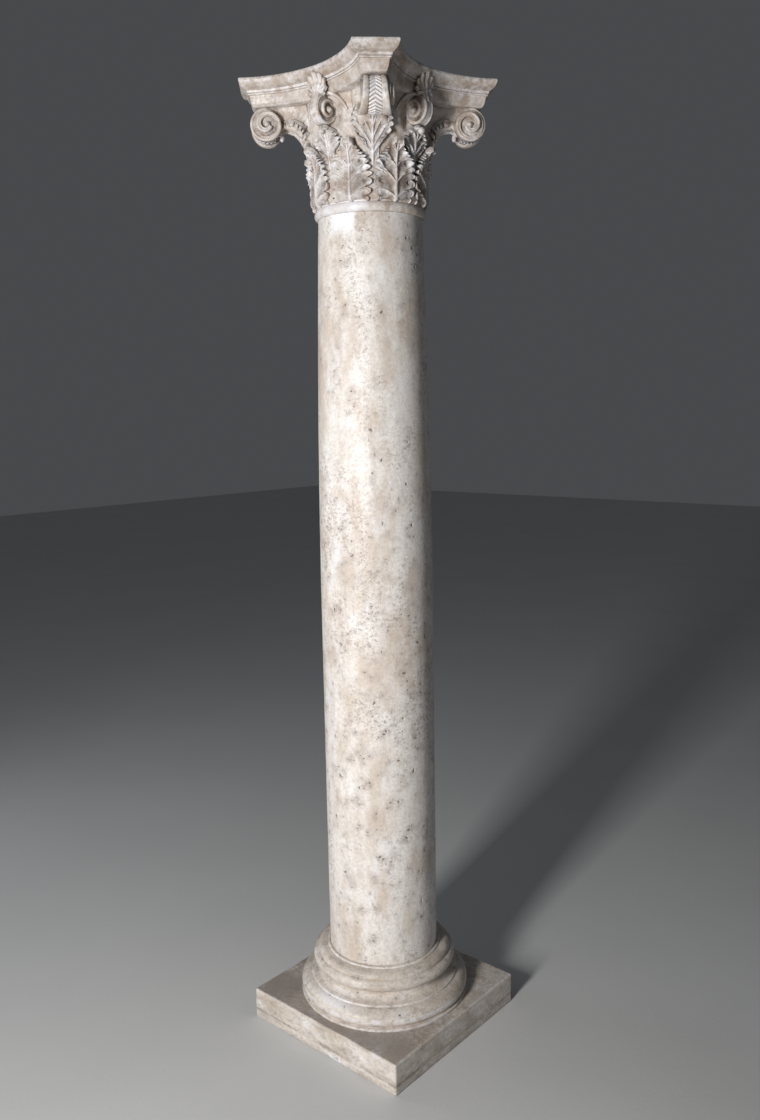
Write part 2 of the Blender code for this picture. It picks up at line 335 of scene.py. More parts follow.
def shaft_radius(z):
    """Radius of the shaft: even below, and drawn in ever faster above where its entasis starts."""
    rise = max(0.0, (z - ENTASIS_FROM) / (SHAFT_HIGH.z - ENTASIS_FROM))
    return SHAFT_FOOT - (SHAFT_FOOT - SHAFT_NECK) * rise**ENTASIS_POWER


def pit_spots(bm, count, seed, crowd):
    """Places for pits: (centre, normal, across, blobs), crowded where the crowd function is high.

    A spun mesh has its faces in another order each time. They are sorted, so that the pits stay put.
    """
    rng = random.Random(seed)
    bm.verts.index_update()
    faces = [face for face in bm.faces if crowd(face.calc_center_median()) > 0]
    faces.sort(key=lambda face: sorted(vert.index for vert in face.verts))
    spots = []
    while len(spots) < count:
        face = rng.choice(faces)
        centre = face.calc_center_median()
        if rng.random() > crowd(centre):
            continue
        size = rng.choice((0.8, 1.0, 1.0, 1.2, 1.3, 1.5, 1.7, 2.0, 2.7)) * 0.001
        turn = rng.uniform(0, math.pi)
        blobs = []
        spot = Vector((0, 0))
        for _ in range(rng.choice((1, 1, 2, 2, 3))):
            blobs.append((*spot, size * rng.uniform(0.8, 1.25), size * rng.uniform(0.6, 1.0), turn))
            turn += rng.uniform(-1.1, 1.1)
            spot = spot + Vector((math.cos(turn), math.sin(turn))) * size * 1.3
            size *= rng.uniform(0.6, 0.95)
        across = Vector((-centre.y, centre.x, 0)).normalized()
        spots.append((centre, face.normal.copy(), across, blobs))
    return spots


def fine_near(bm, spots, cuts):
    """Makes the mesh finer on the faces that the pits reach."""
    middles = np.array([face.calc_center_median() for face in bm.faces])
    close = np.zeros(len(middles), bool)
    for centre, _, _, blobs in spots:
        reach = 0.0035 + 2.2 * blobs[0][2] * len(blobs) ** 0.5
        close |= ((middles - np.array(centre)) ** 2).sum(axis=1) < reach**2
    bm.faces.ensure_lookup_table()
    bm.edges.index_update()
    edges = {edge.index: edge for k in np.nonzero(close)[0] for edge in bm.faces[k].edges}
    edges = [edges[k] for k in sorted(edges)]
    bmesh.ops.subdivide_edges(bm, edges=edges, cuts=cuts, use_grid_fill=True)


def sink_pits(places, spots):
    """Sinks the ragged pits into the places.

    Returns how deep in a pit each place is, and how grimy from the pits near it.
    """
    pits = np.zeros(len(places))
    halo = np.zeros(len(places))
    for centre, normal, across, blobs in spots:
        normal = np.array(normal)
        across = np.array(across)
        gap = places - np.array(centre)
        near = np.nonzero((gap**2).sum(axis=1) < 0.016**2)[0]
        gap = gap[near]
        halo[near] += 0.60 * np.exp(-(gap**2).sum(axis=1) / 0.0085**2)
        x = gap @ across
        y = gap @ np.cross(normal, across)
        fall = np.zeros(len(near))
        for left, up, long, short, turn in blobs:
            u = (x - left) * math.cos(turn) + (y - up) * math.sin(turn)
            v = (y - up) * math.cos(turn) - (x - left) * math.sin(turn)
            fall = np.maximum(fall, 1 - soft_step(np.hypot(u / long, v / short), 0.55, 1.5))
        depth = 0.0007 + 0.45 * blobs[0][3]
        places[near] -= normal * (depth * fall)[:, None]
        pits[near] = np.maximum(pits[near], fall)
    return pits, np.minimum(halo, 0.8)


def pitted(profile, around, count, seed, crowd, cuts):
    """A spun piece with pits: its mesh and places, and how pitted and how grimy each place is."""
    bm = spun(profile, around)
    bmesh.ops.recalc_face_normals(bm, faces=bm.faces[:])
    spots = pit_spots(bm, count, seed, crowd)
    fine_near(bm, spots, cuts)
    mesh = pattern(bm, "pitted piece")
    places = vertex_places(mesh)
    pits, halo = sink_pits(places, spots)
    return mesh, places, pits, halo


def shaft_crowd(place):
    """Pits crowd in clumps, most in the lower half of the shaft and towards one side of it."""
    low = math.exp(-(((place.z - 0.80) / 0.42) ** 2))
    side = 0.65 + 0.35 * math.cos(math.atan2(place.y, place.x) - math.radians(-75))
    wall = math.hypot(place.x, place.y) > 0.11
    clump = soft_step(unevenness(np.array([place]), 0.085, 61)[0], -0.25, 0.75)
    return (0.16 + 0.72 * low) * side * wall * (0.10 + 0.90 * clump)


def shaft_marks(places):
    """Marks of the shaft: a painted spot of light on its left under the collar, painted grey shade on the
    front and right of its neck, and a dark run low down.
    """
    side = from_view(places)
    rise = places[:, 2]
    # A painted spot of light on the shaft's left, just under the collar.
    painted_light_patch = band(side, -50, -42, -18.5, -16.5) * soft_step(rise, 2.030, 2.062)
    # Painted grey shade on the front and right of the neck, just under the collar.
    neck = band(side, -16, -14, 10, 45) * soft_step(rise, 1.98, 2.07)
    run = band(rise, 0.25, 0.29, 0.35, 0.41) * hump(side + 31 + 40 * (rise - 0.33), 3.2)
    return np.maximum(0.5 * run, 0.30 * neck), 0.85 * painted_light_patch


def make_shaft(material):
    """The shaft: straight below, tapering above, slightly uneven, and pitted most in its lower half."""
    foot = SHAFT_LOW.z
    top = SHAFT_HIGH.z
    wall = [(shaft_radius(z), z) for z in (*np.arange(foot, top, SHAFT_ROW), top)]
    profile = [(0.0, foot), (0.07, foot), *wall, (0.06, top), (0.0, top)]
    mesh, places, pits, halo = pitted(profile, SHAFT_AROUND, SHAFT_PITS, 7, shaft_crowd, 3)
    swell = 0.0006 * unevenness(places * (1, 1, 0.5), 0.35, 3) + 0.00015 * unevenness(places, 0.06, 4)
    radius, out = outward(places)
    places += out * (swell * (radius > 0.1))[:, None]
    set_places(mesh, places)
    # Its first mark holds the dark run and the painted shade at the neck, its pale mark the painted spot of
    # light.
    stain_and_shade, pale = shaft_marks(places)
    marks = (mesh, 0.5, pits, np.maximum(stain_and_shade, halo), pale)
    return piece("worn_shaft", [marks], material, "shaft", 60)


def base_profile():
    """Attic base from the shaft's seat down into the plinth."""
    seat = BASE_HIGH.z - 0.0028
    profile = [(0.0, seat), (SHAFT_FOOT - 0.0008, seat)]
    profile += arc((0.1478, 0.2112), (0.0045, 0.0041), 170, -20, 8)
    profile += [(0.1540, 0.2104), (0.1600, 0.2098)]
    profile += arc((0.1620, 0.1990), (0.0155, 0.0110), 82, 0, 8)
    profile += [(0.1778, 0.1965), (0.1770, 0.1952)]
    profile += arc((UPPER_TORUS - 0.0150, 0.1790), (0.0150, 0.0162), 68, -68, 14)
    profile += arc((0.1930, 0.1570), (0.0220, 0.0205), 165, 262, 12)
    profile += [(0.1955, 0.1355), (0.1965, 0.1348), (0.1968, 0.1325), (0.1962, 0.1308)]
    profile += arc((0.1945, 0.1060), (LOWER_TORUS - 0.1945, 0.0250), 82, -38, 18)
    profile += [(LOWER_TORUS - 0.0030, 0.0890), (LOWER_TORUS + 0.0002, 0.0876)]
    profile += [(LOWER_TORUS + 0.0004, 0.0840), (LOWER_TORUS - 0.0010, PLINTH_HEIGHT - 0.003)]
    profile += [(0.10, PLINTH_HEIGHT - 0.003), (0.0, PLINTH_HEIGHT - 0.003)]
    return even_profile(profile, 0.006)


def make_plinth():
    """The square slab: edges worn round, faces gently uneven, and a crease round its sides."""
    bm = bmesh.new()
    bmesh.ops.create_cube(bm, size=1.0)
    bmesh.ops.scale(bm, vec=(2 * PLINTH_HALF, 2 * PLINTH_HALF, PLINTH_HEIGHT), verts=bm.verts[:])
    bmesh.ops.translate(bm, vec=(0, 0, PLINTH_HEIGHT / 2), verts=bm.verts[:])
    bmesh.ops.bevel(
        bm,
        geom=bm.edges[:],
        offset=0.0042,
        offset_type="OFFSET",
        affect="EDGES",
        segments=4,
        profile=0.5,
        material=-1,
    )
    for axis in "xy":
        cut_across(bm, axis, 0.006 - PLINTH_HALF, PLINTH_HALF - 0.006, 0.008)
    cut_across(bm, "z", 0.006, PLINTH_HEIGHT - 0.006, 0.006)
    mesh = pattern(bm, "plinth")
    places = vertex_places(mesh)
    inward = -places * (1, 1, 0) / PLINTH_HALF
    worn = 0.5 + 0.5 * unevenness(places, 0.09, 21)
    rim = soft_step(np.abs(places[:, :2]).max(axis=1), PLINTH_HALF - 0.012, PLINTH_HALF)
    places += inward * (0.0011 * worn * rim)[:, None]
    top = places[:, 2] > PLINTH_HEIGHT / 2
    places[:, 2] -= top * (0.0007 * (0.5 + 0.5 * unevenness(places, 0.12, 22)))
    crease = hump(places[:, 2] - PLINTH_CREASE - 0.003 * unevenness(places, 0.2, 23), 0.0035)
    places += inward * (0.0010 * crease * rim)[:, None]
    places[:, 2] = np.clip(places[:, 2], 0.0, PLINTH_HEIGHT)
    set_places(mesh, places)
    raised = np.clip(0.45 + 0.45 * rim * worn - 0.42 * crease * rim, 0, 1)
    return mesh, raised, 0.0, plinth_stain(places, rim, top)


def plinth_stain(places, rim, top):
    """Grime of the plinth: over its top, along its foot and in the crease round its sides."""
    inner = 1 - soft_step(np.abs(places[:, :2]).max(axis=1), PLINTH_HALF - 0.006, PLINTH_HALF - 0.001)
    to_right = places @ np.array(from_camera(1, 0, 0))
    cloudy = 0.95 + 0.25 * unevenness(places, 0.13, 24)
    upper = top * inner * cloudy * (1 - 0.5 * soft_step(to_right, 0.02, 0.24))
    foot = (1 - soft_step(places[:, 2], 0.004, 0.020)) * (0.35 + 0.35 * unevenness(places, 0.07, 25))
    line = hump(places[:, 2] - PLINTH_CREASE + 0.001 - 0.003 * unevenness(places, 0.2, 23), 0.0028)
    line *= rim * soft_step(unevenness(places, 0.11, 26), -0.6, 0.5)
    return np.clip(np.maximum(np.maximum(upper, foot), line), 0, 1)


def cut_across(bm, axis, start, end, spacing):
    """Cuts a slab square to one axis at even spacings, so that its faces can wear unevenly."""
    normal = Vector((axis == "x", axis == "y", axis == "z"))
    count = int((end - start) / spacing)
    for k in range(count + 1):
        spot = normal * (start + (end - start) * k / count)
        geometry = bm.verts[:] + bm.edges[:] + bm.faces[:]
        bmesh.ops.bisect_plane(bm, geom=geometry, dist=1e-6, plane_co=spot, plane_no=normal)


def base_crowd(place):
    """Pits lie anywhere on the round mouldings outside the shaft."""
    return 0.7 * (math.hypot(place.x, place.y) > 0.158 and place.z > 0.088)


def make_base(material):
    """The base: spun mouldings with a few pits, set in the top of the plinth."""
    mesh, places, pits, halo = pitted(base_profile(), TURNED_AROUND, BASE_PITS, 17, base_crowd, 4)
    radius, out = outward(places)
    swell = 0.0007 * unevenness(places, 0.16, 31) + 0.00025 * unevenness(places, 0.03, 32)
    places += out * (swell * (radius > SHAFT_FOOT + 0.003))[:, None]
    set_places(mesh, places)
    edges = sum(hump(radius - edge, 0.002) for edge in (BASE_FILLET, LOWER_TORUS, BEAD))
    # A painted highlight: round the top of the lower torus the base is painted paler on its left front, the
    # side the key light falls on.
    wear_and_sheen = hump(places[:, 2] - 0.128, 0.008) * hump(from_view(places) + 42, 18)
    marks = (mesh, 0.5 + 0.4 * edges, pits, halo, 0.7 * wear_and_sheen)
    return piece("turned_base", [make_plinth(), marks], material, "base", 35)


# Capital


def bell_profile():
    """Collar roll, the foot of the bell, and the bell that flares up into the abacus."""
    foot = CAPITAL_LOW.z
    profile = [(0.0, foot), (COLLAR_NECK, foot), (COLLAR_NECK + 0.0012, foot + 0.0006)]
    profile += arc((COLLAR_NECK, foot + 0.0122), (COLLAR - COLLAR_NECK, 0.0118), -80, 62, 16)
    profile += [(0.1304, 2.1100), (0.1308, 2.1118), (0.1330, 2.1140), (0.1350, 2.1180)]
    bell = [(0.1358, 2.1240), (0.1352, 2.1550), (0.1376, 2.2200), (0.1470, 2.2900), (0.1550, 2.3450)]
    return even_profile([*profile, *smooth_line(bell).tolist(), (0.0, 2.3450)], 0.004)


def make_bell():
    """The bell and its collar roll, hollowed beside each scroll, the collar painted paler on its left front
    as a painted highlight.
    """
    mesh = pattern(spun(bell_profile(), TURNED_AROUND), "bell")
    places = vertex_places(mesh)
    radius, out = outward(places)
    swell = 0.0006 * unevenness(places, 0.09, 41) + 0.0003 * unevenness(places, 0.02, 42)
    angle = np.arctan2(places[:, 1], places[:, 0])
    from_middle = np.abs((angle + math.pi / 4) % (math.pi / 2) - math.pi / 4) * 0.15
    gap = np.hypot((from_middle - 0.026) / 0.017, (places[:, 2] - 2.302) / 0.030)
    recess = np.exp(-(gap**3))
    places += out * ((swell - 0.017 * recess) * (radius > 0.1))[:, None]
    set_places(mesh, places)
    collar = places[:, 2] < COLLAR_TOP
    raised = np.where(collar, 0.62, 0.45 - 0.2 * recess)
    # A painted highlight: the collar roll is painted paler on its left front, the side the key light falls
    # on.
    painted_highlight = 1 - soft_step(np.abs(from_view(places) + 40), 28, 52)
    return mesh, raised, 0.0, 0.0, collar * painted_highlight * (0.55 + 0.25 * unevenness(places, 0.04, 43))


def abacus_outline(inset):
    """One turn of hollow sides and cut corners, all moved in by the same inset.

    Past the inset where the cut corners vanish, the outline shrinks to the middle.
    """
    shrink = 1 - 10 * max(inset - CUTS_VANISH, 0)
    inset = min(inset, CUTS_VANISH)
    corner = ABACUS_CORNER - inset
    hollow = ABACUS_HOLLOW + inset
    centre = ABACUS_MIDDLE + ABACUS_HOLLOW
    from_centre = centre / math.sqrt(2)
    half_cut = from_centre - math.sqrt(hollow**2 - (from_centre - corner) ** 2)
    to_corner = Matrix.Rotation(math.pi / 4, 2)
    end = to_corner @ Vector((corner, -half_cut))
    half_bow = math.atan2(end.y, centre - end.x)
    bows = np.linspace(-half_bow, half_bow, HOLLOW_STEPS + 1)
    side = [(centre - hollow * math.cos(a), hollow * math.sin(a)) for a in bows]
    cut = [to_corner @ Vector((corner, y)) for y in np.linspace(-half_cut, half_cut, CUT_STEPS + 1)]
    quarter = np.array(side + [tuple(spot) for spot in cut[1:-1]])
    turns = [quarter @ np.array(Matrix.Rotation(math.pi / 2 * k, 2)).T for k in range(4)]
    return np.vstack(turns) * shrink


def abacus_moulding():
    """Upper band, fillets and lower band of the abacus, as (inset, z) from the top down."""
    crown = [(0.0006, 2.3985), (0.0, 2.3960), (0.0006, 2.3920), (0.0060, 2.3820), (0.0160, 2.3758)]
    lower = [(0.0240, 2.3645), (0.0252, 2.3580), (0.0278, 2.3490), (0.0296, 2.3462)]
    rows = [(0.100, HEIGHT), (0.030, HEIGHT), (0.0022, HEIGHT), *smooth_line(crown, 5).tolist()]
    rows += [(0.0168, 2.3756), (0.0173, 2.3750), (0.0178, 2.3715), (0.0184, 2.3708), (0.0206, 2.3706)]
    rows += [(0.0208, 2.3696), (0.0198, 2.3692), (0.0200, 2.3668), (0.0206, 2.3662), (0.0232, 2.3658)]
    rows += [*smooth_line(lower, 4).tolist(), (0.0306, 2.3442), (0.0322, 2.3425)]
    rows += [(inset, ABACUS_UNDERSIDE) for inset in (0.0350, 0.060, 0.110)]
    return rows


def make_abacus():
    """The abacus: its outline at each row of the moulding, gently uneven and stained in blotches."""
    rows = abacus_moulding()
    around = 4 * (HOLLOW_STEPS + CUT_STEPS)
    sample = tube_pattern(around, len(rows) - 1)
    flat = vertex_places(sample)
    level = np.rint(flat[:, 2] * (len(rows) - 1)).astype(int)
    rings = [np.column_stack([abacus_outline(inset), np.full(around, z)]) for inset, z in rows]
    places = np.array(rings)[level, tube_column(flat, around)]
    depth = np.array([inset for inset, z in rows])[level]
    wear = [(0, 0.9), (0.004, 0.6), (0.012, 0.4), (0.0165, 0.8), (0.0173, 0.95), (0.0184, 0.85)]
    wear += [(0.0208, 0.2), (0.0240, 0.55), (0.0290, 0.6), (0.031, 0.75)]
    raised = np.where(np.abs(places[:, 2] - LOWER_FILLET) < 0.0014, 0.9, read_off(wear, depth))
    out = outward(places)[1]
    swell = 0.0006 * unevenness(places, 0.11, 51) + 0.0003 * unevenness(places, 0.025, 52) - 0.0006
    places += out * (swell * (depth < 0.05))[:, None]
    blotch = soft_step(unevenness(places * (1, 1, 2), 0.075, 53), 0.10, 0.60) * (depth < 0.016)
    stain_and_shade = 0.18 + 0.62 * blotch + 0.40 * soft_step(unevenness(places, 0.05, 54), 0.2, 0.8)
    return shaped(sample, places), raised, 0.0, np.clip(stain_and_shade, 0, 0.8)


def ridge(side, rise, start, end, width):
    """1 on a straight vein between two places of a leaf, falling to 0 at its width, thinner to its end."""
    start = np.array(start)
    run = np.array(end) - start
    share = np.clip(((side - start[0]) * run[0] + (rise - start[1]) * run[1]) / (run @ run), 0, 1)
    gap = np.hypot(side - start[0] - share * run[0], rise - start[1] - share * run[1])
    reach = width * (1 - 0.45 * share)
    return np.clip(1 - (gap / reach) ** 2, 0, 1) ** 1.5, gap


def scallops(share, envelope, notches):
    """Half width of a leaf at each share, with rounded leaflets between its notches.

    Also gives where in its leaflet each place is, from -1 to 1.
    """
    spots = np.array([spot for spot, depth in notches])
    k = np.clip(np.searchsorted(spots, share) - 1, 0, len(spots) - 2)
    x = np.clip(2 * (share - spots[k]) / (spots[k + 1] - spots[k]) - 1, -1, 1)
    return read_off(envelope, share) * (1 - read_off(notches, share) * (1 - np.sqrt(1 - x**2))), x


def carved_leaf(sample, form, degrees, seed, worn_side=0):
    """One acanthus leaf on the bell. Its form gives its line, outline, notches, veins and eyes.

    A worn side of -1 or 1 has its carving worn nearly smooth on that half.
    """
    flat = vertex_places(sample)
    u = flat[:, 0]
    share = (flat[:, 1] + 1) / 2
    behind = flat[:, 2] < -0.5
    line = smooth_line(form["line"])
    total = length_of(line)
    rise = np.clip(share + read_off(form["slant"], share) * np.abs(u), 0, 1)
    half, phase = scallops(share, form["outline"], form["notches"])
    worn = soft_step(u * worn_side, 0.10, 0.30) * (1 - soft_step(share, 0.75, 0.9))
    height = leaf_relief(form, np.abs(u) * half, rise * total, half, u, phase, total) * (1 - 0.75 * worn)
    thick = form["root"] + (form["tip"] - form["root"]) * rise
    depth = np.where(behind, -thick, height) - read_off(form["wrap"], rise) * u**2
    place, normal = along(line, rise)
    place = place + normal * depth[:, None]
    angle = u * half / np.maximum(place[:, 0], LEAF_WRAP)
    places = np.column_stack([place[:, 0] * np.cos(angle), place[:, 0] * np.sin(angle), place[:, 1]])
    rough = 0.0006 * unevenness(places, 0.024, seed) + 0.00025 * unevenness(places, 0.010, seed + 1)
    places[:, 0] += rough * ~behind
    raised = np.where(behind, 0.2, np.clip(0.40 + height / 0.0065, 0, 1))
    return shaped(sample, places, degrees), raised


def leaf_relief(form, side, up, half, u, phase, total):
    """Height of the carving over a leaf: rib, veins, dished panels, round leaflets, rim and eyes."""
    rib_width = np.interp(up / total, [0, 0.12, 1], [form["rib"][0] * 1.5, form["rib"][0], form["rib"][1]])
    rib = np.clip(1 - (side / rib_width) ** 2, 0, 1) ** 0.7
    groove = hump(side - rib_width - 0.0012, 0.0014)
    plain = 1 - 0.9 * soft_step(up / total, 0.86, 0.93)
    height = (0.0034 * rib - 0.0014 * groove) * plain
    nearest = side - 0.5 * rib_width
    for start, end in form["veins"]:
        high, gap = ridge(side, up, start, end, form["vein_width"])
        height = np.maximum(height, 0.0034 * high * plain)
        nearest = np.minimum(nearest, gap)
    panel = 1 - hump(np.clip(nearest, 0, None), form["panel"])
    edge = (1 - np.abs(u)) * half
    rim = hump(edge - 0.0016, 0.0018)
    height += -0.0026 * panel * (1 - rim) + 0.0014 * rim
    outer = soft_step(np.abs(u), form["lobes from"], form["lobes from"] + 0.30)
    height += outer * (0.0026 * (1 - phase**2) - 0.0030 * hump(1 - np.abs(phase), 0.20))
    height += read_off(form["lift"], up / total) * soft_step(np.abs(u), 0.55, 0.98)
    end = np.minimum(edge, np.clip(total - up, 0, None) + 0.0004)
    tip = soft_step(up / total, 0.80, 0.93)
    height += form["hood"] * tip * hump(end - 0.0060, 0.0045)
    roll = 0.0048 - 0.0008 * tip
    height -= 1.05 * roll * (1 - np.sqrt(1 - (1 - np.clip(end / roll, 0, 1)) ** 2))
    for spot_side, spot_up, size in form["eyes"]:
        height -= 0.0060 * hump(np.hypot(side - spot_side, up - spot_up), size)
    return height


# A leaf's form: line is its middle from foot to tip, in (r, z). outline, notches, slant, lift and wrap
# go by share of its length: half width, depth of the cuts between leaflets, rise of its rows to the
# sides, lift of its edges and how far they fall back. veins and eyes are at (side, up) on its face.


def lower_leaf_form():
    """Broad leaf of the lower row, its tip leaning out in a small hood."""
    return {
        "line": [(0.1310, 2.1105), (0.1345, 2.1112), (0.1388, 2.1145), (0.1408, 2.1210), (0.1413, 2.1400)]
        + [(0.1415, 2.1700), (0.1428, 2.1980), (0.1468, 2.2150), (0.1530, 2.2280), (0.1595, 2.2338)]
        + [(0.1650, 2.2345)],
        "outline": [(0, 0.046), (0.06, 0.051), (0.16, 0.0550), (0.27, 0.0565), (0.39, 0.0520)]
        + [(0.54, 0.0460), (0.68, 0.0320), (0.80, 0.0225), (0.90, 0.0160), (1.0, 0.0100)],
        "notches": [(-0.05, 0.0), (0.055, 0.20), (0.135, 0.42), (0.225, 0.34), (0.320, 0.50), (0.410, 0.30)]
        + [(0.500, 0.38), (0.600, 0.52), (0.680, 0.34), (0.755, 0.36), (0.835, 0.30), (1.08, 0.2)],
        "slant": [(0, 0.0), (0.06, 0.05), (0.22, 0.17), (0.5, 0.19), (0.8, 0.05), (1, 0)],
        "veins": [((0.002, 0.013), (0.041, 0.034)), ((0.002, 0.046), (0.046, 0.090))]
        + [((0.018, 0.062), (0.044, 0.072)), ((0.002, 0.080), (0.033, 0.116))]
        + [((0.013, 0.092), (0.036, 0.100)), ((0.002, 0.113), (0.014, 0.134))],
        "eyes": [(0.037, 0.047, 0.0036), (0.030, 0.087, 0.0036), (0.018, 0.118, 0.0034)],
        "rib": (0.0044, 0.0024),
        "vein_width": 0.0028,
        "panel": 0.0075,
        "lobes from": 0.60,
        "lift": [(0, 0.0), (0.45, 0.0010), (0.60, 0.0065), (0.70, 0.0065), (0.82, 0.0012), (1, 0)],
        "wrap": [(0, 0.0), (1, 0.0)],
        "hood": 0.0042,
        "root": 0.020,
        "tip": 0.0075,
    }


def corner_leaf_form():
    """Tall leaf of the upper row that arches out under a corner volute."""
    return {
        "line": [(0.1290, 2.1400), (0.1340, 2.1850), (0.1425, 2.2200), (0.1505, 2.2500), (0.1615, 2.2745)]
        + [(0.1780, 2.2895), (0.1930, 2.2915), (0.2040, 2.2870), (0.2085, 2.2780)],
        "outline": [(0, 0.020), (0.22, 0.015), (0.30, 0.0190), (0.36, 0.0400), (0.48, 0.0500)]
        + [(0.60, 0.0490), (0.72, 0.0430), (0.84, 0.0350), (0.94, 0.0190), (1.0, 0.0080)],
        "notches": [(-0.05, 0.0), (0.28, 0.0), (0.365, 0.30), (0.450, 0.30), (0.540, 0.46), (0.625, 0.30)]
        + [(0.710, 0.46), (0.79, 0.30), (0.87, 0.40), (0.95, 0.2), (1.10, 0.1)],
        "slant": [(0, 0.0), (0.20, 0.02), (0.30, 0.22), (0.54, 0.18), (0.80, 0.04), (1, 0)],
        "veins": [((0.001, 0.072), (0.043, 0.120)), ((0.016, 0.092), (0.044, 0.102))]
        + [((0.001, 0.086), (0.038, 0.142)), ((0.001, 0.106), (0.026, 0.158))]
        + [((0.001, 0.128), (0.014, 0.173))],
        "eyes": [(0.033, 0.112, 0.0032), (0.024, 0.140, 0.0030)],
        "rib": (0.0050, 0.0028),
        "vein_width": 0.0032,
        "panel": 0.0065,
        "lobes from": 0.62,
        "lift": [(0, 0.0), (0.5, 0.0014), (1, 0.0)],
        "wrap": [(0, 0.0), (0.68, 0.0), (0.80, 0.009), (0.92, 0.012), (1, 0.006)],
        "hood": 0.0010,
        "root": 0.018,
        "tip": 0.0090,
    }


def middle_leaf_form():
    """Shorter leaf of the upper row, under a middle scroll."""
    return {
        "line": [(0.1290, 2.1400), (0.1335, 2.1850), (0.1410, 2.2200), (0.1455, 2.2440), (0.1520, 2.2610)]
        + [(0.1590, 2.2690), (0.1640, 2.2700)],
        "outline": [(0, 0.018), (0.32, 0.014), (0.40, 0.0200), (0.49, 0.0390), (0.64, 0.0420)]
        + [(0.78, 0.0320), (0.90, 0.0180), (1.0, 0.0080)],
        "notches": [(-0.05, 0.0), (0.40, 0.0), (0.495, 0.25), (0.585, 0.34), (0.69, 0.50), (0.79, 0.34)]
        + [(0.89, 0.40), (1.10, 0.2)],
        "slant": [(0, 0.0), (0.30, 0.02), (0.43, 0.22), (0.66, 0.14), (0.9, 0.04), (1, 0)],
        "veins": [((0.001, 0.078), (0.038, 0.120)), ((0.001, 0.105), (0.020, 0.134))],
        "eyes": [(0.024, 0.114, 0.0034), (0.015, 0.132, 0.0032)],
        "rib": (0.0045, 0.0026),
        "vein_width": 0.0030,
        "panel": 0.0065,
        "lobes from": 0.62,
        "lift": [(0, 0.0), (0.5, 0.0014), (0.8, 0.0030), (1, 0.0)],
        "wrap": [(0, 0.0), (1, 0.0)],
        "hood": 0.0020,
        "root": 0.018,
        "tip": 0.0070,
    }


# Steps across the channel of a coiled band and down each of its sides.
CHANNEL_STEPS = 19
SIDE_STEPS = 11
COIL_AROUND = CHANNEL_STEPS + 2 * SIDE_STEPS


def coil_outline(form):
    """Section of a coiled band as rows of (side, wide, inset, depth), once round.

    A wide of 0 counts from the edge of the channel and 1 from the side of the band.
    """
    sunk = form["channel"]
    thick = form["thick"]
    rows = [(x, 0, 0.0, sunk) for x in np.linspace(-1, 1, CHANNEL_STEPS)]
    half = [(0, -0.0009, 0.45 * sunk), (0, -0.0019, 0.0003), (1, 0.0040, -0.0004), (1, 0.0014, 0.0004)]
    half += [(1, 0.0001, 0.0022), (1, 0.0002, 0.0040), (1, 0.0016, 0.0060), (1, 0.0018, 0.0082)]
    half += [(1, 0.0010, thick - 0.0016), (1, 0.0034, thick - 0.0002), (1, 0.0090, thick)]
    rows += [(1, *row) for row in half]
    rows += [(-1, *row) for row in reversed(half)]
    return np.array(rows)


def coil(sample, form):
    """A band coiled in over its eye: rounded rims, a sunk channel with chevrons, stepped sides.

    Its turns are counted from the top, outward and down. Inner turns stand further out sideways.
    """
    flat = vertex_places(sample)
    side, wide, inset, depth = coil_outline(form)[tube_column(flat, COIL_AROUND)].T
    sunk = (wide == 0) & (inset == 0)
    spacing, slope, relief = form["chevrons"]
    row = np.interp(flat[:, 2], [0, 0.5, 1], [form["start"], 0.40 * form["turns"], form["turns"]])
    lag = slope * form["channel half"] * np.where(sunk, 1 - np.abs(side), 0.0)
    done = row - lag / (2 * math.pi * form["size"])
    angle = math.pi / 2 - 2 * math.pi * done
    tighten = form["tighten"] * soft_step(done, form["turns"] - 0.45, form["turns"])
    outer = form["size"] - form["pitch"] * done - tighten
    half = read_off(form["halves"], done)
    channel = form["channel half"] + 0.35 * (half - form["halves"][0][1])
    across = side * (wide * half + (1 - wide) * channel) - np.sign(side) * inset
    run = 2 * math.pi * (form["size"] * row - form["pitch"] * row**2 / 2)
    cut = np.clip(1.6 * np.cos(2 * math.pi * run / spacing) + 0.50, -1, 1)
    fade = np.clip((1 - np.abs(side)) / 0.12, 0, 1) * sunk
    depth = np.minimum(depth - relief * cut * fade, outer - 0.0005)
    reach = outer - depth
    eye = form["eye"]
    places = np.column_stack([eye[0] + reach * np.cos(angle), across, eye[1] + reach * np.sin(angle)])
    raised = np.where(sunk, 0.45 + 0.45 * cut, 0.66 - 0.36 * soft_step(depth, 0.0035, 0.0075))
    return places, raised, form["ridge paint"] * fade * np.clip(cut, 0, 1)


def disc_part(eye, radius, width, degrees):
    """The recessed disc between the turns of a coil."""
    bm = bmesh.new()
    bmesh.ops.create_cone(bm, cap_ends=True, segments=48, radius1=radius, radius2=radius, depth=width)
    bmesh.ops.rotate(bm, cent=(0, 0, 0), matrix=Matrix.Rotation(math.pi / 2, 3, "X"), verts=bm.verts[:])
    bmesh.ops.translate(bm, vec=(eye[0], 0, eye[1]), verts=bm.verts[:])
    return turned(pattern(bm, "disc"), degrees), 0.2


def eye_part(eye, radius, half, degrees, tall=1.0):
    """A button: the middle of a coil, standing out on both sides, or the curled tip of a leaf."""
    bm = bmesh.new()
    bmesh.ops.create_uvsphere(bm, u_segments=28, v_segments=16, radius=1.0)
    bmesh.ops.scale(bm, vec=(radius, half, radius * tall), verts=bm.verts[:])
    bmesh.ops.translate(bm, vec=(eye[0], 0, eye[1]), verts=bm.verts[:])
    return turned(pattern(bm, "eye"), degrees), 0.8


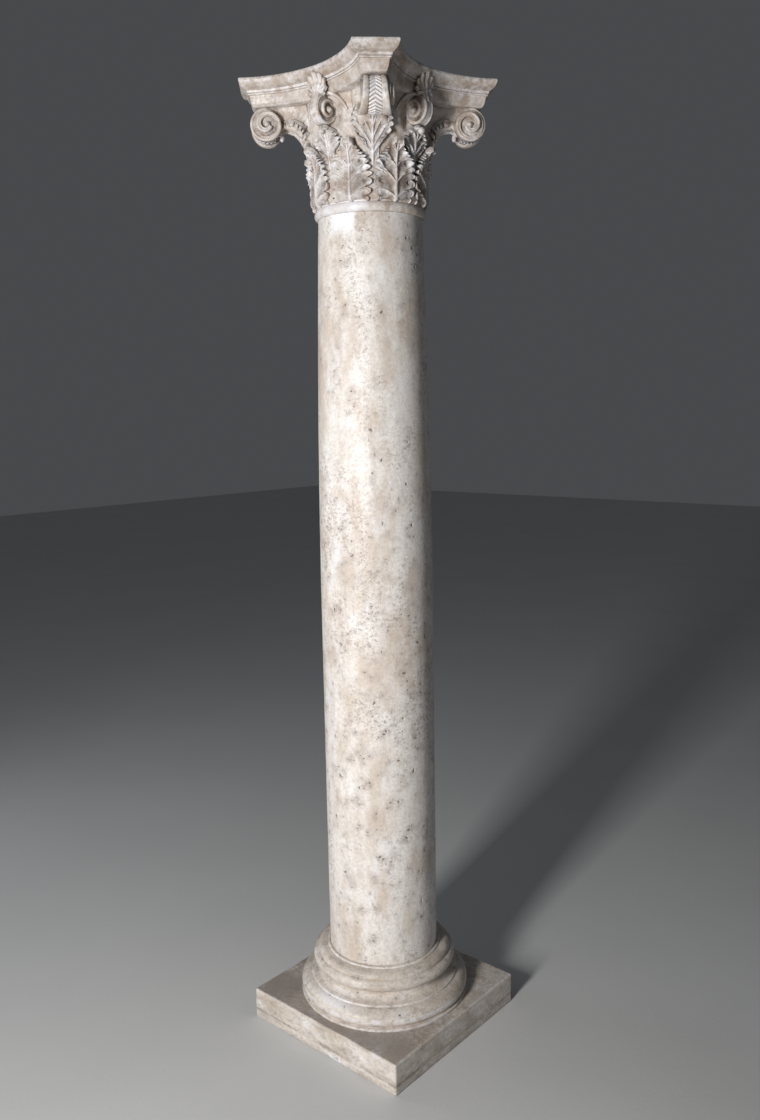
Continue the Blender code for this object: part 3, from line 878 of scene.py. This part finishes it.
def arm_part(degrees):
    """The smooth arm that carries a corner coil out from the bell, beneath the abacus."""
    stations = [(0.240, 0.0205, 2.304), (0.222, 0.0205, 2.299), (0.208, 0.0210, 2.297)]
    stations += [(0.196, 0.0225, 2.295), (0.178, 0.0265, 2.289), (0.160, 0.0350, 2.272)]
    stations += [(0.122, 0.0540, 2.238)]
    sample = tube_pattern(40, 44)
    flat = vertex_places(sample)
    turn = np.arctan2(flat[:, 1], flat[:, 0])
    r = np.interp(flat[:, 2] * (len(stations) - 1), range(len(stations)), [r for r, half, low in stations])
    half_line = smooth_line([(r, half) for r, half, low in stations], 12)
    low_line = smooth_line([(r, low) for r, half, low in stations], 12)
    half = np.interp(-r, -half_line[:, 0], half_line[:, 1])
    low = np.interp(-r, -low_line[:, 0], low_line[:, 1])
    top = ABACUS_UNDERSIDE + 0.010
    square = np.clip(np.column_stack([np.cos(turn), np.sin(turn)]) * 1.32, -1, 1)
    flare = 1 + 0.02 * square[:, 1] + 0.13 * soft_step(square[:, 1], 0.15, 0.55)
    rise = (top + low) / 2 + square[:, 1] * (top - low) / 2
    return shaped(sample, np.column_stack([r, square[:, 0] * half * flare, rise]), degrees), 0.45


def coiled(sample, form, degrees):
    """A coiled band with the recessed disc between its turns and the button in its middle."""
    places, raised, pale = coil(sample, form)
    ribbon = (shaped(sample, places, degrees), raised, 0.0, 0.0, pale)
    disc = disc_part(form["eye"], *form["disc"], degrees)
    return [ribbon, disc, eye_part(form["eye"], *form["button"], degrees)]


def corner_volutes():
    """The four volutes under the corners of the abacus, with chevrons down the front of each coil."""
    form = {
        "eye": VOLUTE_EYE,
        "size": 0.0440,
        "pitch": 0.0150,
        "start": -0.10,
        "turns": 1.66,
        "tighten": 0.0060,
        "thick": 0.0116,
        "halves": [(0, 0.0235), (0.25, 0.0275), (0.40, 0.0335), (0.55, 0.0385), (0.8, 0.0400)]
        + [(1.25, 0.0418), (2, 0.0430)],
        "channel": 0.0030,
        "channel half": 0.0122,
        "chevrons": (0.0094, 0.90, 0.0014),
        "ridge paint": 0.75,
        "disc": (0.0335, 0.064),
        "button": (0.0108, 0.0462),
    }
    sample = tube_pattern(COIL_AROUND, VOLUTE_ROWS)
    parts = []
    for degrees in CORNERS:
        parts += [*coiled(sample, form, degrees), arm_part(degrees)]
    return parts


def middle_scrolls():
    """The four small plain scrolls in the middle of the sides, each between two stalks."""
    form = {
        "eye": SCROLL_EYE,
        "size": 0.0365,
        "pitch": 0.0125,
        "start": 0.0,
        "turns": 1.75,
        "tighten": 0.0040,
        "thick": 0.0094,
        "halves": [(0, 0.0132), (0.3, 0.0142), (0.5, 0.0152), (0.75, 0.0185), (1.0, 0.0200)]
        + [(1.5, 0.0208), (2, 0.0210)],
        "channel": 0.0012,
        "channel half": 0.0080,
        "chevrons": (0.5, 0.0, 0.0),
        "ridge paint": 0.0,
        "disc": (0.029, 0.027),
        "button": (0.0104, 0.0258),
    }
    sample = tube_pattern(COIL_AROUND, SCROLL_ROWS)
    parts = []
    for degrees in MIDDLES:
        parts += [*coiled(sample, form, degrees), stalk(degrees, -1), stalk(degrees, 1)]
    return parts


def rope(line, radii, around=12, lengths=22):
    """A round rope along a smooth line through a few (x, y, z) points, as a pattern and its places."""
    sample = tube_pattern(around, lengths)
    flat = vertex_places(sample)
    share = flat[:, 2]
    place, run = read_line(smooth_line(line), share)
    run /= np.linalg.norm(run, axis=1, keepdims=True)
    out = place * (1, 1, 0)
    out -= run * (out * run).sum(axis=1, keepdims=True)
    out /= np.linalg.norm(out, axis=1, keepdims=True)
    across = np.cross(run, out)
    size = np.interp(share, np.linspace(0, 1, len(radii)), radii)[:, None]
    return sample, place + size * (flat[:, :1] * out + flat[:, 1:2] * across)


def stalk(degrees, side):
    """The thin stalk that runs up the bell and over the top of a scroll."""
    line = [(0.1385, 0.060, 2.3040), (0.1435, 0.051, 2.3210), (0.1500, 0.038, 2.3350)]
    line += [(0.1560, 0.024, 2.3430), (0.1610, 0.010, 2.3440)]
    line = [(x, side * y, z) for x, y, z in line]
    sample, places = rope(line, (0.0022, 0.0036, 0.0042, 0.0046, 0.0040))
    return shaped(sample, places, degrees), 0.75


def palmette(sample, degrees, seed):
    """A small frilled leaf that grows from the band of the scroll and spreads over the abacus."""
    flat = vertex_places(sample)
    behind = flat[:, 2] < -0.5
    fan = flat[:, 0] * math.radians(98)
    full = (flat[:, 1] + 1) / 2
    share = np.clip((full - 0.18) / 0.82, 0, 1)
    neck = 1 - np.clip(full / 0.18, 0, 1)
    wave = np.abs(np.cos(flat[:, 0] * 4.5 * math.pi))
    teeth = np.abs(np.cos(flat[:, 0] * 13.5 * math.pi))
    reach = [(0, 0.0500), (25, 0.0460), (50, 0.0370), (75, 0.0270), (98, 0.0200)]
    size = read_off(reach, np.degrees(np.abs(fan))) * (0.80 + 0.15 * wave**0.6 + 0.06 * teeth)
    side = np.sin(fan) * size * share + flat[:, 0] * 0.0105 * (1 - share) ** 0.5
    rise = 0.020 + np.cos(fan) * size * share - 0.018 * neck
    line = [(0.1845, 2.3220), (0.1790, 2.3380), (0.1755, 2.3480), (0.1750, 2.3600)]
    line = smooth_line([*line, (0.1800, 2.3750), (0.1895, 2.3910)])
    inner = 1 - soft_step(share + 0.05 * wave, 0.50, 0.60)
    height = 0.0030 * (wave - 0.45) * np.clip(share * 1.8, 0, 1) + 0.0022 * inner * np.clip(share * 3, 0, 1)
    height += 0.0024 * hump(side, 0.0026) * (1 - share**4)
    rim = np.clip((1 - share) * size / 0.0030, 0, 1)
    height -= 0.0028 * (1 - np.sqrt(1 - (1 - rim) ** 2))
    depth = np.where(behind, -0.014 + 0.007 * share, height + 0.0010)
    place, normal = along(line, np.clip(rise / length_of(line), 0, 1))
    place = place + normal * depth[:, None]
    places = np.column_stack([place[:, 0], side, place[:, 1]])
    rough = 0.0007 * unevenness(places, 0.012, seed) + 0.0004 * unevenness(places, 0.006, seed + 1)
    places[:, 0] += rough * ~behind
    raised = np.where(behind, 0.2, np.clip(0.20 + 0.6 * wave + 0.2 * inner, 0, 1))
    return shaped(sample, places, degrees), raised


def make_capital(stone, leaf_stone):
    """The carved capital as five pieces, which together stand for its one node."""
    leaf = slab_pattern(15, 22, 4)
    lower = []
    for k, degrees in enumerate(BETWEEN):
        worn_side = -1 if degrees == WORN_LEAF else 0
        lower.append(carved_leaf(leaf, lower_leaf_form(), degrees, 100 + k, worn_side))
    upper = [carved_leaf(leaf, corner_leaf_form(), degrees, 200 + k) for k, degrees in enumerate(CORNERS)]
    upper += [carved_leaf(leaf, middle_leaf_form(), degrees, 300 + k) for k, degrees in enumerate(MIDDLES)]
    upper += [eye_part(MIDDLE_TIP, 0.0080, 0.0085, degrees) for degrees in MIDDLES]
    upper += [eye_part(CORNER_TIP, 0.0058, 0.0075, degrees, 1.5) for degrees in CORNERS]
    frill = slab_pattern(18, 10, 3)
    palmettes = [palmette(frill, degrees, 400 + k) for k, degrees in enumerate(MIDDLES)]
    pieces = (
        ("bell_and_abacus", [make_bell(), make_abacus()], stone, 32),
        ("lower_leaves", lower, leaf_stone, 60),
        ("upper_leaves", upper, leaf_stone, 60),
        ("corner_volutes", corner_volutes(), stone, 45),
        ("scrolls_and_palmettes", middle_scrolls() + palmettes, stone, 50),
    )
    return [piece(name, parts, look, "capital", smooth) for name, parts, look, smooth in pieces]


def shade_recesses(objects, rays, reach):
    """Notes how closed in each place of a piece is, from 0 in the open to 1 in a deep hollow."""
    verts, faces = [], []
    for obj in objects:
        start = len(verts)
        verts.extend(vert.co.copy() for vert in obj.data.vertices)
        faces.extend(tuple(start + k for k in face.vertices) for face in obj.data.polygons)
    tree = BVHTree.FromPolygons(verts, faces)
    golden = math.pi * (3 - math.sqrt(5))
    local = []
    for k in range(rays):
        up = math.sqrt(1 - (k + 0.5) / rays)
        flat = math.sqrt(1 - up * up)
        local.append(Vector((flat * math.cos(golden * k), flat * math.sin(golden * k), up)))
    for obj in objects:
        values = []
        for vert in obj.data.vertices:
            turn = vert.normal.to_track_quat("Z", "Y")
            spot = vert.co + vert.normal * 0.0006
            total = 0.0
            for way in local:
                hit = tree.ray_cast(spot, turn @ way, reach)
                if hit[0] is not None:
                    total += 1 - 0.5 * hit[3] / reach
            values.append(total / rays)
        note(obj.data, "recess", values)


# Finish


def new_group(name, inputs, outputs):
    group = bpy.data.node_groups.new(name, "ShaderNodeTree")
    for label, kind, value in inputs:
        socket = group.interface.new_socket(label, in_out="INPUT", socket_type=kind)
        socket.default_value = value
    for label, kind in outputs:
        group.interface.new_socket(label, in_out="OUTPUT", socket_type=kind)
    return group, group.nodes.new("NodeGroupInput"), group.nodes.new("NodeGroupOutput")


def put(tree, socket, value):
    """Links a value into a socket, or sets it there if it is plain."""
    if isinstance(value, bpy.types.NodeSocket):
        tree.links.new(value, socket)
    else:
        socket.default_value = value


def noise(tree, vector, scale, detail, roughness=0.6):
    node = tree.nodes.new("ShaderNodeTexNoise")
    put(tree, node.inputs["Vector"], vector)
    put(tree, node.inputs["Scale"], scale)
    put(tree, node.inputs["Detail"], detail)
    put(tree, node.inputs["Roughness"], roughness)
    return node.outputs["Fac"]


def stretch(tree, vector, scale, shift=(0, 0, 0)):
    node = tree.nodes.new("ShaderNodeMapping")
    put(tree, node.inputs["Vector"], vector)
    put(tree, node.inputs["Scale"], scale)
    put(tree, node.inputs["Location"], shift)
    return node.outputs["Vector"]


def spread(tree, value, low, high, to_low=0.0, to_high=1.0):
    node = tree.nodes.new("ShaderNodeMapRange")
    node.interpolation_type = "SMOOTHSTEP"
    put(tree, node.inputs["Value"], value)
    for label, number in (("From Min", low), ("From Max", high), ("To Min", to_low), ("To Max", to_high)):
        put(tree, node.inputs[label], number)
    return node.outputs["Result"]


def combine(tree, operation, first, *rest):
    """One value from several, by a maths operation in turn."""
    for value in rest:
        node = tree.nodes.new("ShaderNodeMath")
        node.operation = operation
        put(tree, node.inputs[0], first)
        put(tree, node.inputs[1], value)
        first = node.outputs["Value"]
    return first


def blend(tree, share, first, second):
    node = tree.nodes.new("ShaderNodeMix")
    node.data_type = "RGBA"
    put(tree, node.inputs["Factor"], share)
    put(tree, node.inputs[6], first)
    put(tree, node.inputs[7], second)
    return node.outputs[2]


def mark(tree, name):
    node = tree.nodes.new("ShaderNodeAttribute")
    node.attribute_name = name
    return node.outputs["Fac"]


def dots(tree, vector, scale, share, reach):
    """Round dots in a share of the cells of a pattern, each fading out at its reach."""
    cells = tree.nodes.new("ShaderNodeTexVoronoi")
    put(tree, cells.inputs["Vector"], vector)
    put(tree, cells.inputs["Scale"], scale)
    parts = tree.nodes.new("ShaderNodeSeparateColor")
    tree.links.new(cells.outputs["Color"], parts.inputs["Color"])
    chosen = spread(tree, parts.outputs["Red"], 1 - share, 1 - share + 0.04)
    size = combine(tree, "MULTIPLY", combine(tree, "ADD", parts.outputs["Green"], 0.45), reach)
    near = combine(tree, "DIVIDE", cells.outputs["Distance"], size)
    return combine(tree, "MULTIPLY", spread(tree, near, 1.0, 0.6), chosen)


def bent(tree, vector, scale, reach):
    """The vector shifted a little by noise, so that what is drawn on it comes out ragged."""
    wave = tree.nodes.new("ShaderNodeTexNoise")
    put(tree, wave.inputs["Vector"], vector)
    put(tree, wave.inputs["Scale"], scale)
    shifted = tree.nodes.new("ShaderNodeVectorMath")
    shifted.operation = "MULTIPLY_ADD"
    put(tree, shifted.inputs[0], wave.outputs["Color"])
    put(tree, shifted.inputs[1], (reach, reach, reach))
    put(tree, shifted.inputs[2], vector)
    return shifted.outputs["Vector"]


def aged_stone_group():
    """Cloudy cream stone with streaks, speckle and pits, dirt in its hollows and pale worn edges."""
    inputs = [
        ("Vector", "NodeSocketVector", (0, 0, 0)),
        ("Streak", "NodeSocketVector", (30, 30, 3.5)),
        ("Pale", "NodeSocketColor", (0.85, 0.80, 0.74, 1)),
        ("Warm", "NodeSocketColor", (0.60, 0.48, 0.37, 1)),
        ("Grey", "NodeSocketColor", (0.36, 0.31, 0.28, 1)),
        ("Dirt", "NodeSocketColor", (0.085, 0.062, 0.048, 1)),
        ("Chalk and highlight", "NodeSocketColor", (0.90, 0.90, 0.92, 1)),
        ("Cloud scale", "NodeSocketFloat", 9.0),
        ("Cloud stretch", "NodeSocketVector", (1, 1, 0.5)),
        ("Bloom", "NodeSocketFloat", 0.4),
        ("Warmth", "NodeSocketFloat", 0.5),
        ("Greyness", "NodeSocketFloat", 0.5),
        ("Hollow dirt", "NodeSocketFloat", 1.0),
        ("Speckle", "NodeSocketFloat", 1.0),
        ("Smudge", "NodeSocketFloat", 0.5),
    ]
    outputs = [
        ("Colour", "NodeSocketColor"),
        ("Roughness", "NodeSocketFloat"),
        ("Height", "NodeSocketFloat"),
    ]
    group, nodes_in, out = new_group("aged stone", inputs, outputs)
    given = nodes_in.outputs
    place = given["Vector"]

    def times(*values):
        return combine(group, "MULTIPLY", *values)

    def cloudy(vector, scale, detail, roughness, *ends):
        """A soft mask cut from noise between two of its values."""
        return spread(group, noise(group, vector, scale, detail, roughness), *ends)

    def over(ground, tone, *shares):
        """The ground with one of the given tones laid over it, by the product of its shares."""
        return blend(group, times(*shares), ground, given[tone])

    # Ground colour: tan clouds, a greyish veil in ragged patches and streaks, a close mottle, bloom.
    drawn = stretch(group, place, given["Cloud stretch"])
    clouds = cloudy(drawn, given["Cloud scale"], 7, 0.62, 0.42, 0.64)
    colour = over(given["Pale"], "Warm", clouds, given["Warmth"])
    patches = cloudy(stretch(group, drawn, (1, 1, 1.4), (3, 1, 7)), 26.0, 9, 0.72, 0.50, 0.66)
    streaks = cloudy(stretch(group, place, given["Streak"]), 1.0, 7, 0.6, 0.50, 0.72)
    veil = combine(group, "MAXIMUM", patches, times(streaks, 0.75))
    colour = over(colour, "Grey", veil, given["Greyness"])
    mottle = cloudy(place, 130.0, 7, 0.75, 0.38, 0.64)
    colour = over(colour, "Grey", mottle, 0.32)
    bloom = stretch(group, drawn, (1.5, 1.5, 1.5), (8, 3, 2))
    bloom = cloudy(bloom, given["Cloud scale"], 7, 0.66, 0.52, 0.66)
    colour = over(colour, "Chalk and highlight", bloom, given["Bloom"])

    # Marks noted on the pieces: dark marks with some painted shade among them, hollows and worn high
    # places.
    stain_and_shade = mark(group, "stain_and_shade")
    raised = mark(group, "raised")
    broken = cloudy(stretch(group, place, (1, 1, 1.4), (2, 5, 1)), 95.0, 6, 0.7, 0.40, 0.58, 0.25, 1.0)
    broken = combine(group, "MAXIMUM", broken, spread(group, stain_and_shade, 0.65, 1.0, 0.0, 0.9))
    # The dark marks go in grey, with the painted shade at the shaft's neck among them.
    colour = over(colour, "Grey", stain_and_shade, broken, 0.85)
    grime = cloudy(place, 48.0, 7, 0.68, 0.34, 0.60, 0.30, 1.0)
    low = times(spread(group, raised, 0.44, 0.08), 0.6)
    hollow = combine(group, "MAXIMUM", low, spread(group, mark(group, "recess"), 0.24, 0.90))
    hollow = times(hollow, grime, given["Hollow dirt"])
    colour = over(colour, "Dirt", hollow)
    wear_and_sheen = cloudy(place, 60.0, 6, 0.65, 0.38, 0.60)
    colour = over(colour, "Chalk and highlight", spread(group, raised, 0.62, 0.95), wear_and_sheen, 0.6)

    # Speckle and smudges, crowded here and there, then the pale places, painted highlights among them, and
    # the sunk pits.
    crowd = cloudy(stretch(group, place, (1, 1, 0.45), (1, 9, 4)), 12.0, 7, 0.7, 0.46, 0.62, 0.12, 1.0)
    smudge = cloudy(stretch(group, place, (1, 1, 1.5), (4, 4, 9)), 85.0, 8, 0.72, 0.50, 0.60)
    colour = over(colour, "Grey", smudge, crowd, given["Smudge"])
    wavy = bent(group, place, 320.0, 0.004)
    fine = times(dots(group, wavy, 260.0, 0.45, 0.30), 0.75)
    specks = combine(group, "MAXIMUM", fine, dots(group, wavy, 105.0, 0.22, 0.22))
    specks = times(specks, crowd, given["Speckle"])
    colour = over(colour, "Dirt", specks, 0.72)
    # Pale marks: pale paint on the chevron ridges, and painted highlights on the collar, the lower torus
    # and the shaft under the collar.
    colour = over(colour, "Chalk and highlight", mark(group, "pale"))
    torn = combine(group, "ADD", mark(group, "pit"), times(noise(group, place, 300.0, 5, 0.65), 0.9))
    colour = over(colour, "Dirt", spread(group, torn, 0.80, 1.20), 0.85)
    group.links.new(colour, out.inputs["Colour"])

    # Duller in the mottle and the hollows; the relief is the grain, less the mottle and the specks.
    rough = combine(group, "ADD", times(mottle, 0.15), times(hollow, 0.25), 0.40)
    group.links.new(rough, out.inputs["Roughness"])
    grain = times(noise(group, place, 240.0, 5, 0.65), 0.35)
    height = combine(group, "ADD", grain, times(mottle, -0.15), times(specks, -0.9))
    group.links.new(height, out.inputs["Height"])
    return group


# Tones of the pieces, and how much of each effect of the aged stone they show.
SHAFT_FINISH = {
    "Pale": (0.855, 0.812, 0.768, 1),
    "Warm": (0.58, 0.465, 0.36, 1),
    "Dirt": (0.15, 0.115, 0.09, 1),
    "Cloud scale": 11.0,
    "Streak": (34, 34, 3.0),
    "Warmth": 0.70,
    "Greyness": 0.36,
    "Hollow dirt": 0.3,
    "Smudge": 0.80,
}
BASE_FINISH = {
    "Pale": (0.75, 0.68, 0.605, 1),
    "Warm": (0.49, 0.395, 0.305, 1),
    "Grey": (0.25, 0.215, 0.195, 1),
    "Cloud scale": 8.0,
    "Cloud stretch": (1, 1, 2.6),
    "Streak": (7, 7, 62),
    "Bloom": 0.35,
    "Warmth": 0.60,
    "Greyness": 0.55,
    "Hollow dirt": 0.6,
    "Speckle": 0.6,
    "Smudge": 0.35,
}
CAPITAL_FINISH = {
    "Pale": (0.70, 0.645, 0.60, 1),
    "Warm": (0.46, 0.36, 0.285, 1),
    "Grey": (0.25, 0.195, 0.155, 1),
    "Dirt": (0.10, 0.072, 0.055, 1),
    "Chalk and highlight": (0.84, 0.84, 0.88, 1),
    "Cloud scale": 24.0,
    "Cloud stretch": (1, 1, 1),
    "Streak": (18, 18, 14),
    "Bloom": 0.50,
    "Warmth": 0.85,
    "Greyness": 0.48,
    "Hollow dirt": 1.0,
    "Speckle": 0.6,
    "Smudge": 0.20,
}
LEAF_FINISH = {
    **CAPITAL_FINISH,
    "Pale": (0.70, 0.665, 0.645, 1),
    "Warm": (0.45, 0.36, 0.295, 1),
    "Bloom": 0.60,
    "Greyness": 0.45,
}


def stone_finish(name, group, values):
    """A Principled material whose colour, roughness and bump come from the aged stone group."""
    material = bpy.data.materials.new(name)
    material.use_nodes = True
    tree = material.node_tree
    shader = tree.nodes["Principled BSDF"]
    shader.inputs["Metallic"].default_value = 0.0
    shader.inputs["Specular IOR Level"].default_value = 0.45
    place = tree.nodes.new("ShaderNodeTexCoord")
    stone = tree.nodes.new("ShaderNodeGroup")
    stone.node_tree = group
    for label, value in values.items():
        stone.inputs[label].default_value = value
    tree.links.new(place.outputs["Object"], stone.inputs["Vector"])
    tree.links.new(stone.outputs["Colour"], shader.inputs["Base Color"])
    tree.links.new(stone.outputs["Roughness"], shader.inputs["Roughness"])
    raise_bumps(tree, shader, stone.outputs["Height"], 0.5, 0.0012)
    return material


def raise_bumps(tree, shader, height, strength, distance):
    relief = tree.nodes.new("ShaderNodeBump")
    relief.inputs["Strength"].default_value = strength
    relief.inputs["Distance"].default_value = distance
    tree.links.new(height, relief.inputs["Height"])
    tree.links.new(relief.outputs["Normal"], shader.inputs["Normal"])


# Stage


def make_floor():
    """A plain pale floor, faintly clouded and grained."""
    bm = bmesh.new()
    bmesh.ops.create_grid(bm, x_segments=1, y_segments=1, size=FLOOR_HALF)
    mesh = bpy.data.meshes.new("floor")
    bm.to_mesh(mesh)
    bm.free()
    material = bpy.data.materials.new("pale floor")
    material.use_nodes = True
    tree = material.node_tree
    shader = tree.nodes["Principled BSDF"]
    place = tree.nodes.new("ShaderNodeTexCoord").outputs["Object"]
    cloud = spread(tree, noise(tree, place, 1.6, 5), 0.35, 0.65)
    grain = spread(tree, noise(tree, place, 90.0, 4), 0.30, 0.70)
    tone = blend(tree, combine(tree, "MULTIPLY", cloud, 0.5), (0.63, 0.63, 0.62, 1), (0.59, 0.59, 0.585, 1))
    put(tree, shader.inputs["Base Color"], tone)
    put(tree, shader.inputs["Roughness"], spread(tree, grain, 0, 1, 0.74, 0.86))
    raise_bumps(tree, shader, grain, 0.1, 0.001)
    mesh.materials.append(material)
    floor = bpy.data.objects.new("floor", mesh)
    bpy.context.scene.collection.objects.link(floor)


def make_light(name, place, size, watts, colour):
    """A soft rectangular light, aimed at the shaft a little above the middle of the column."""
    lamp = bpy.data.lights.new(name, "AREA")
    lamp.shape = "RECTANGLE"
    lamp.size, lamp.size_y = size
    lamp.energy = watts
    lamp.color = colour
    obj = bpy.data.objects.new(name, lamp)
    obj.location = place
    obj.rotation_euler = (Vector(LIGHTS_AIM) - Vector(place)).to_track_quat("-Z", "Y").to_euler()
    bpy.context.scene.collection.objects.link(obj)


def from_camera(right, toward, up):
    """A place given as the photographer sees it: right, toward the camera, and up from the floor."""
    turn = Matrix.Rotation(math.radians(VIEW_TURN), 3, "Z")
    return turn @ Vector((right, -toward, up))


def make_studio():
    """A dim even sky, a tall soft key light near eye level, a weak fill and a cool light from the left."""
    world = bpy.data.worlds.new("studio")
    world.use_nodes = True
    sky = world.node_tree.nodes["Background"]
    sky.inputs["Color"].default_value = (0.80, 0.84, 0.90, 1)
    sky.inputs["Strength"].default_value = 0.08
    bpy.context.scene.world = world
    bpy.context.scene.view_settings.view_transform = "Standard"
    make_light("key", from_camera(-1.50, 2.66, 1.50), (0.4, 1.1), 101, (1.0, 0.99, 0.982))
    make_light("fill", from_camera(2.6, 1.6, 2.0), (1.6, 2.2), 1.2, (0.93, 0.96, 1.0))
    make_light("edge", from_camera(-2.6, -0.9, 1.7), (0.6, 2.2), 9, (0.88, 0.94, 1.0))


def make_camera():
    """The photographer's eye, looking slightly down, with the little roll of the photograph."""
    pitch, yaw, roll = (math.radians(a) for a in (VIEW_DOWN, VIEW_YAW, VIEW_ROLL))
    ahead = Vector((math.sin(yaw) * math.cos(pitch), math.cos(yaw) * math.cos(pitch), -math.sin(pitch)))
    level = Vector((math.cos(yaw), -math.sin(yaw), 0))
    down = ahead.cross(level)
    right = math.cos(roll) * level + math.sin(roll) * down
    down = math.cos(roll) * down - math.sin(roll) * level
    axes = Matrix((right, -down, -ahead)).transposed().to_4x4()
    data = bpy.data.cameras.new("photograph")
    data.sensor_width = 36.0
    data.lens = FOCAL_PIXELS / IMAGE_HEIGHT * data.sensor_width
    camera = bpy.data.objects.new("photograph", data)
    eye = Matrix.Translation((0, -EYE_DISTANCE, EYE_LEVEL))
    camera.matrix_world = Matrix.Rotation(math.radians(VIEW_TURN), 4, "Z") @ eye @ axes
    bpy.context.scene.collection.objects.link(camera)
    bpy.context.scene.camera = camera


def main():
    group = aged_stone_group()
    shaft = make_shaft(stone_finish("aged stone, shaft", group, SHAFT_FINISH))
    base = make_base(stone_finish("aged stone, base", group, BASE_FINISH))
    capital_stone = stone_finish("aged stone, capital", group, CAPITAL_FINISH)
    leaf_stone = stone_finish("aged stone, leaves", group, LEAF_FINISH)
    capital = make_capital(capital_stone, leaf_stone)
    rays = 10
    shade_recesses([shaft, base, *capital], rays, RECESS_REACH)
    make_floor()
    make_studio()
    make_camera()


main()
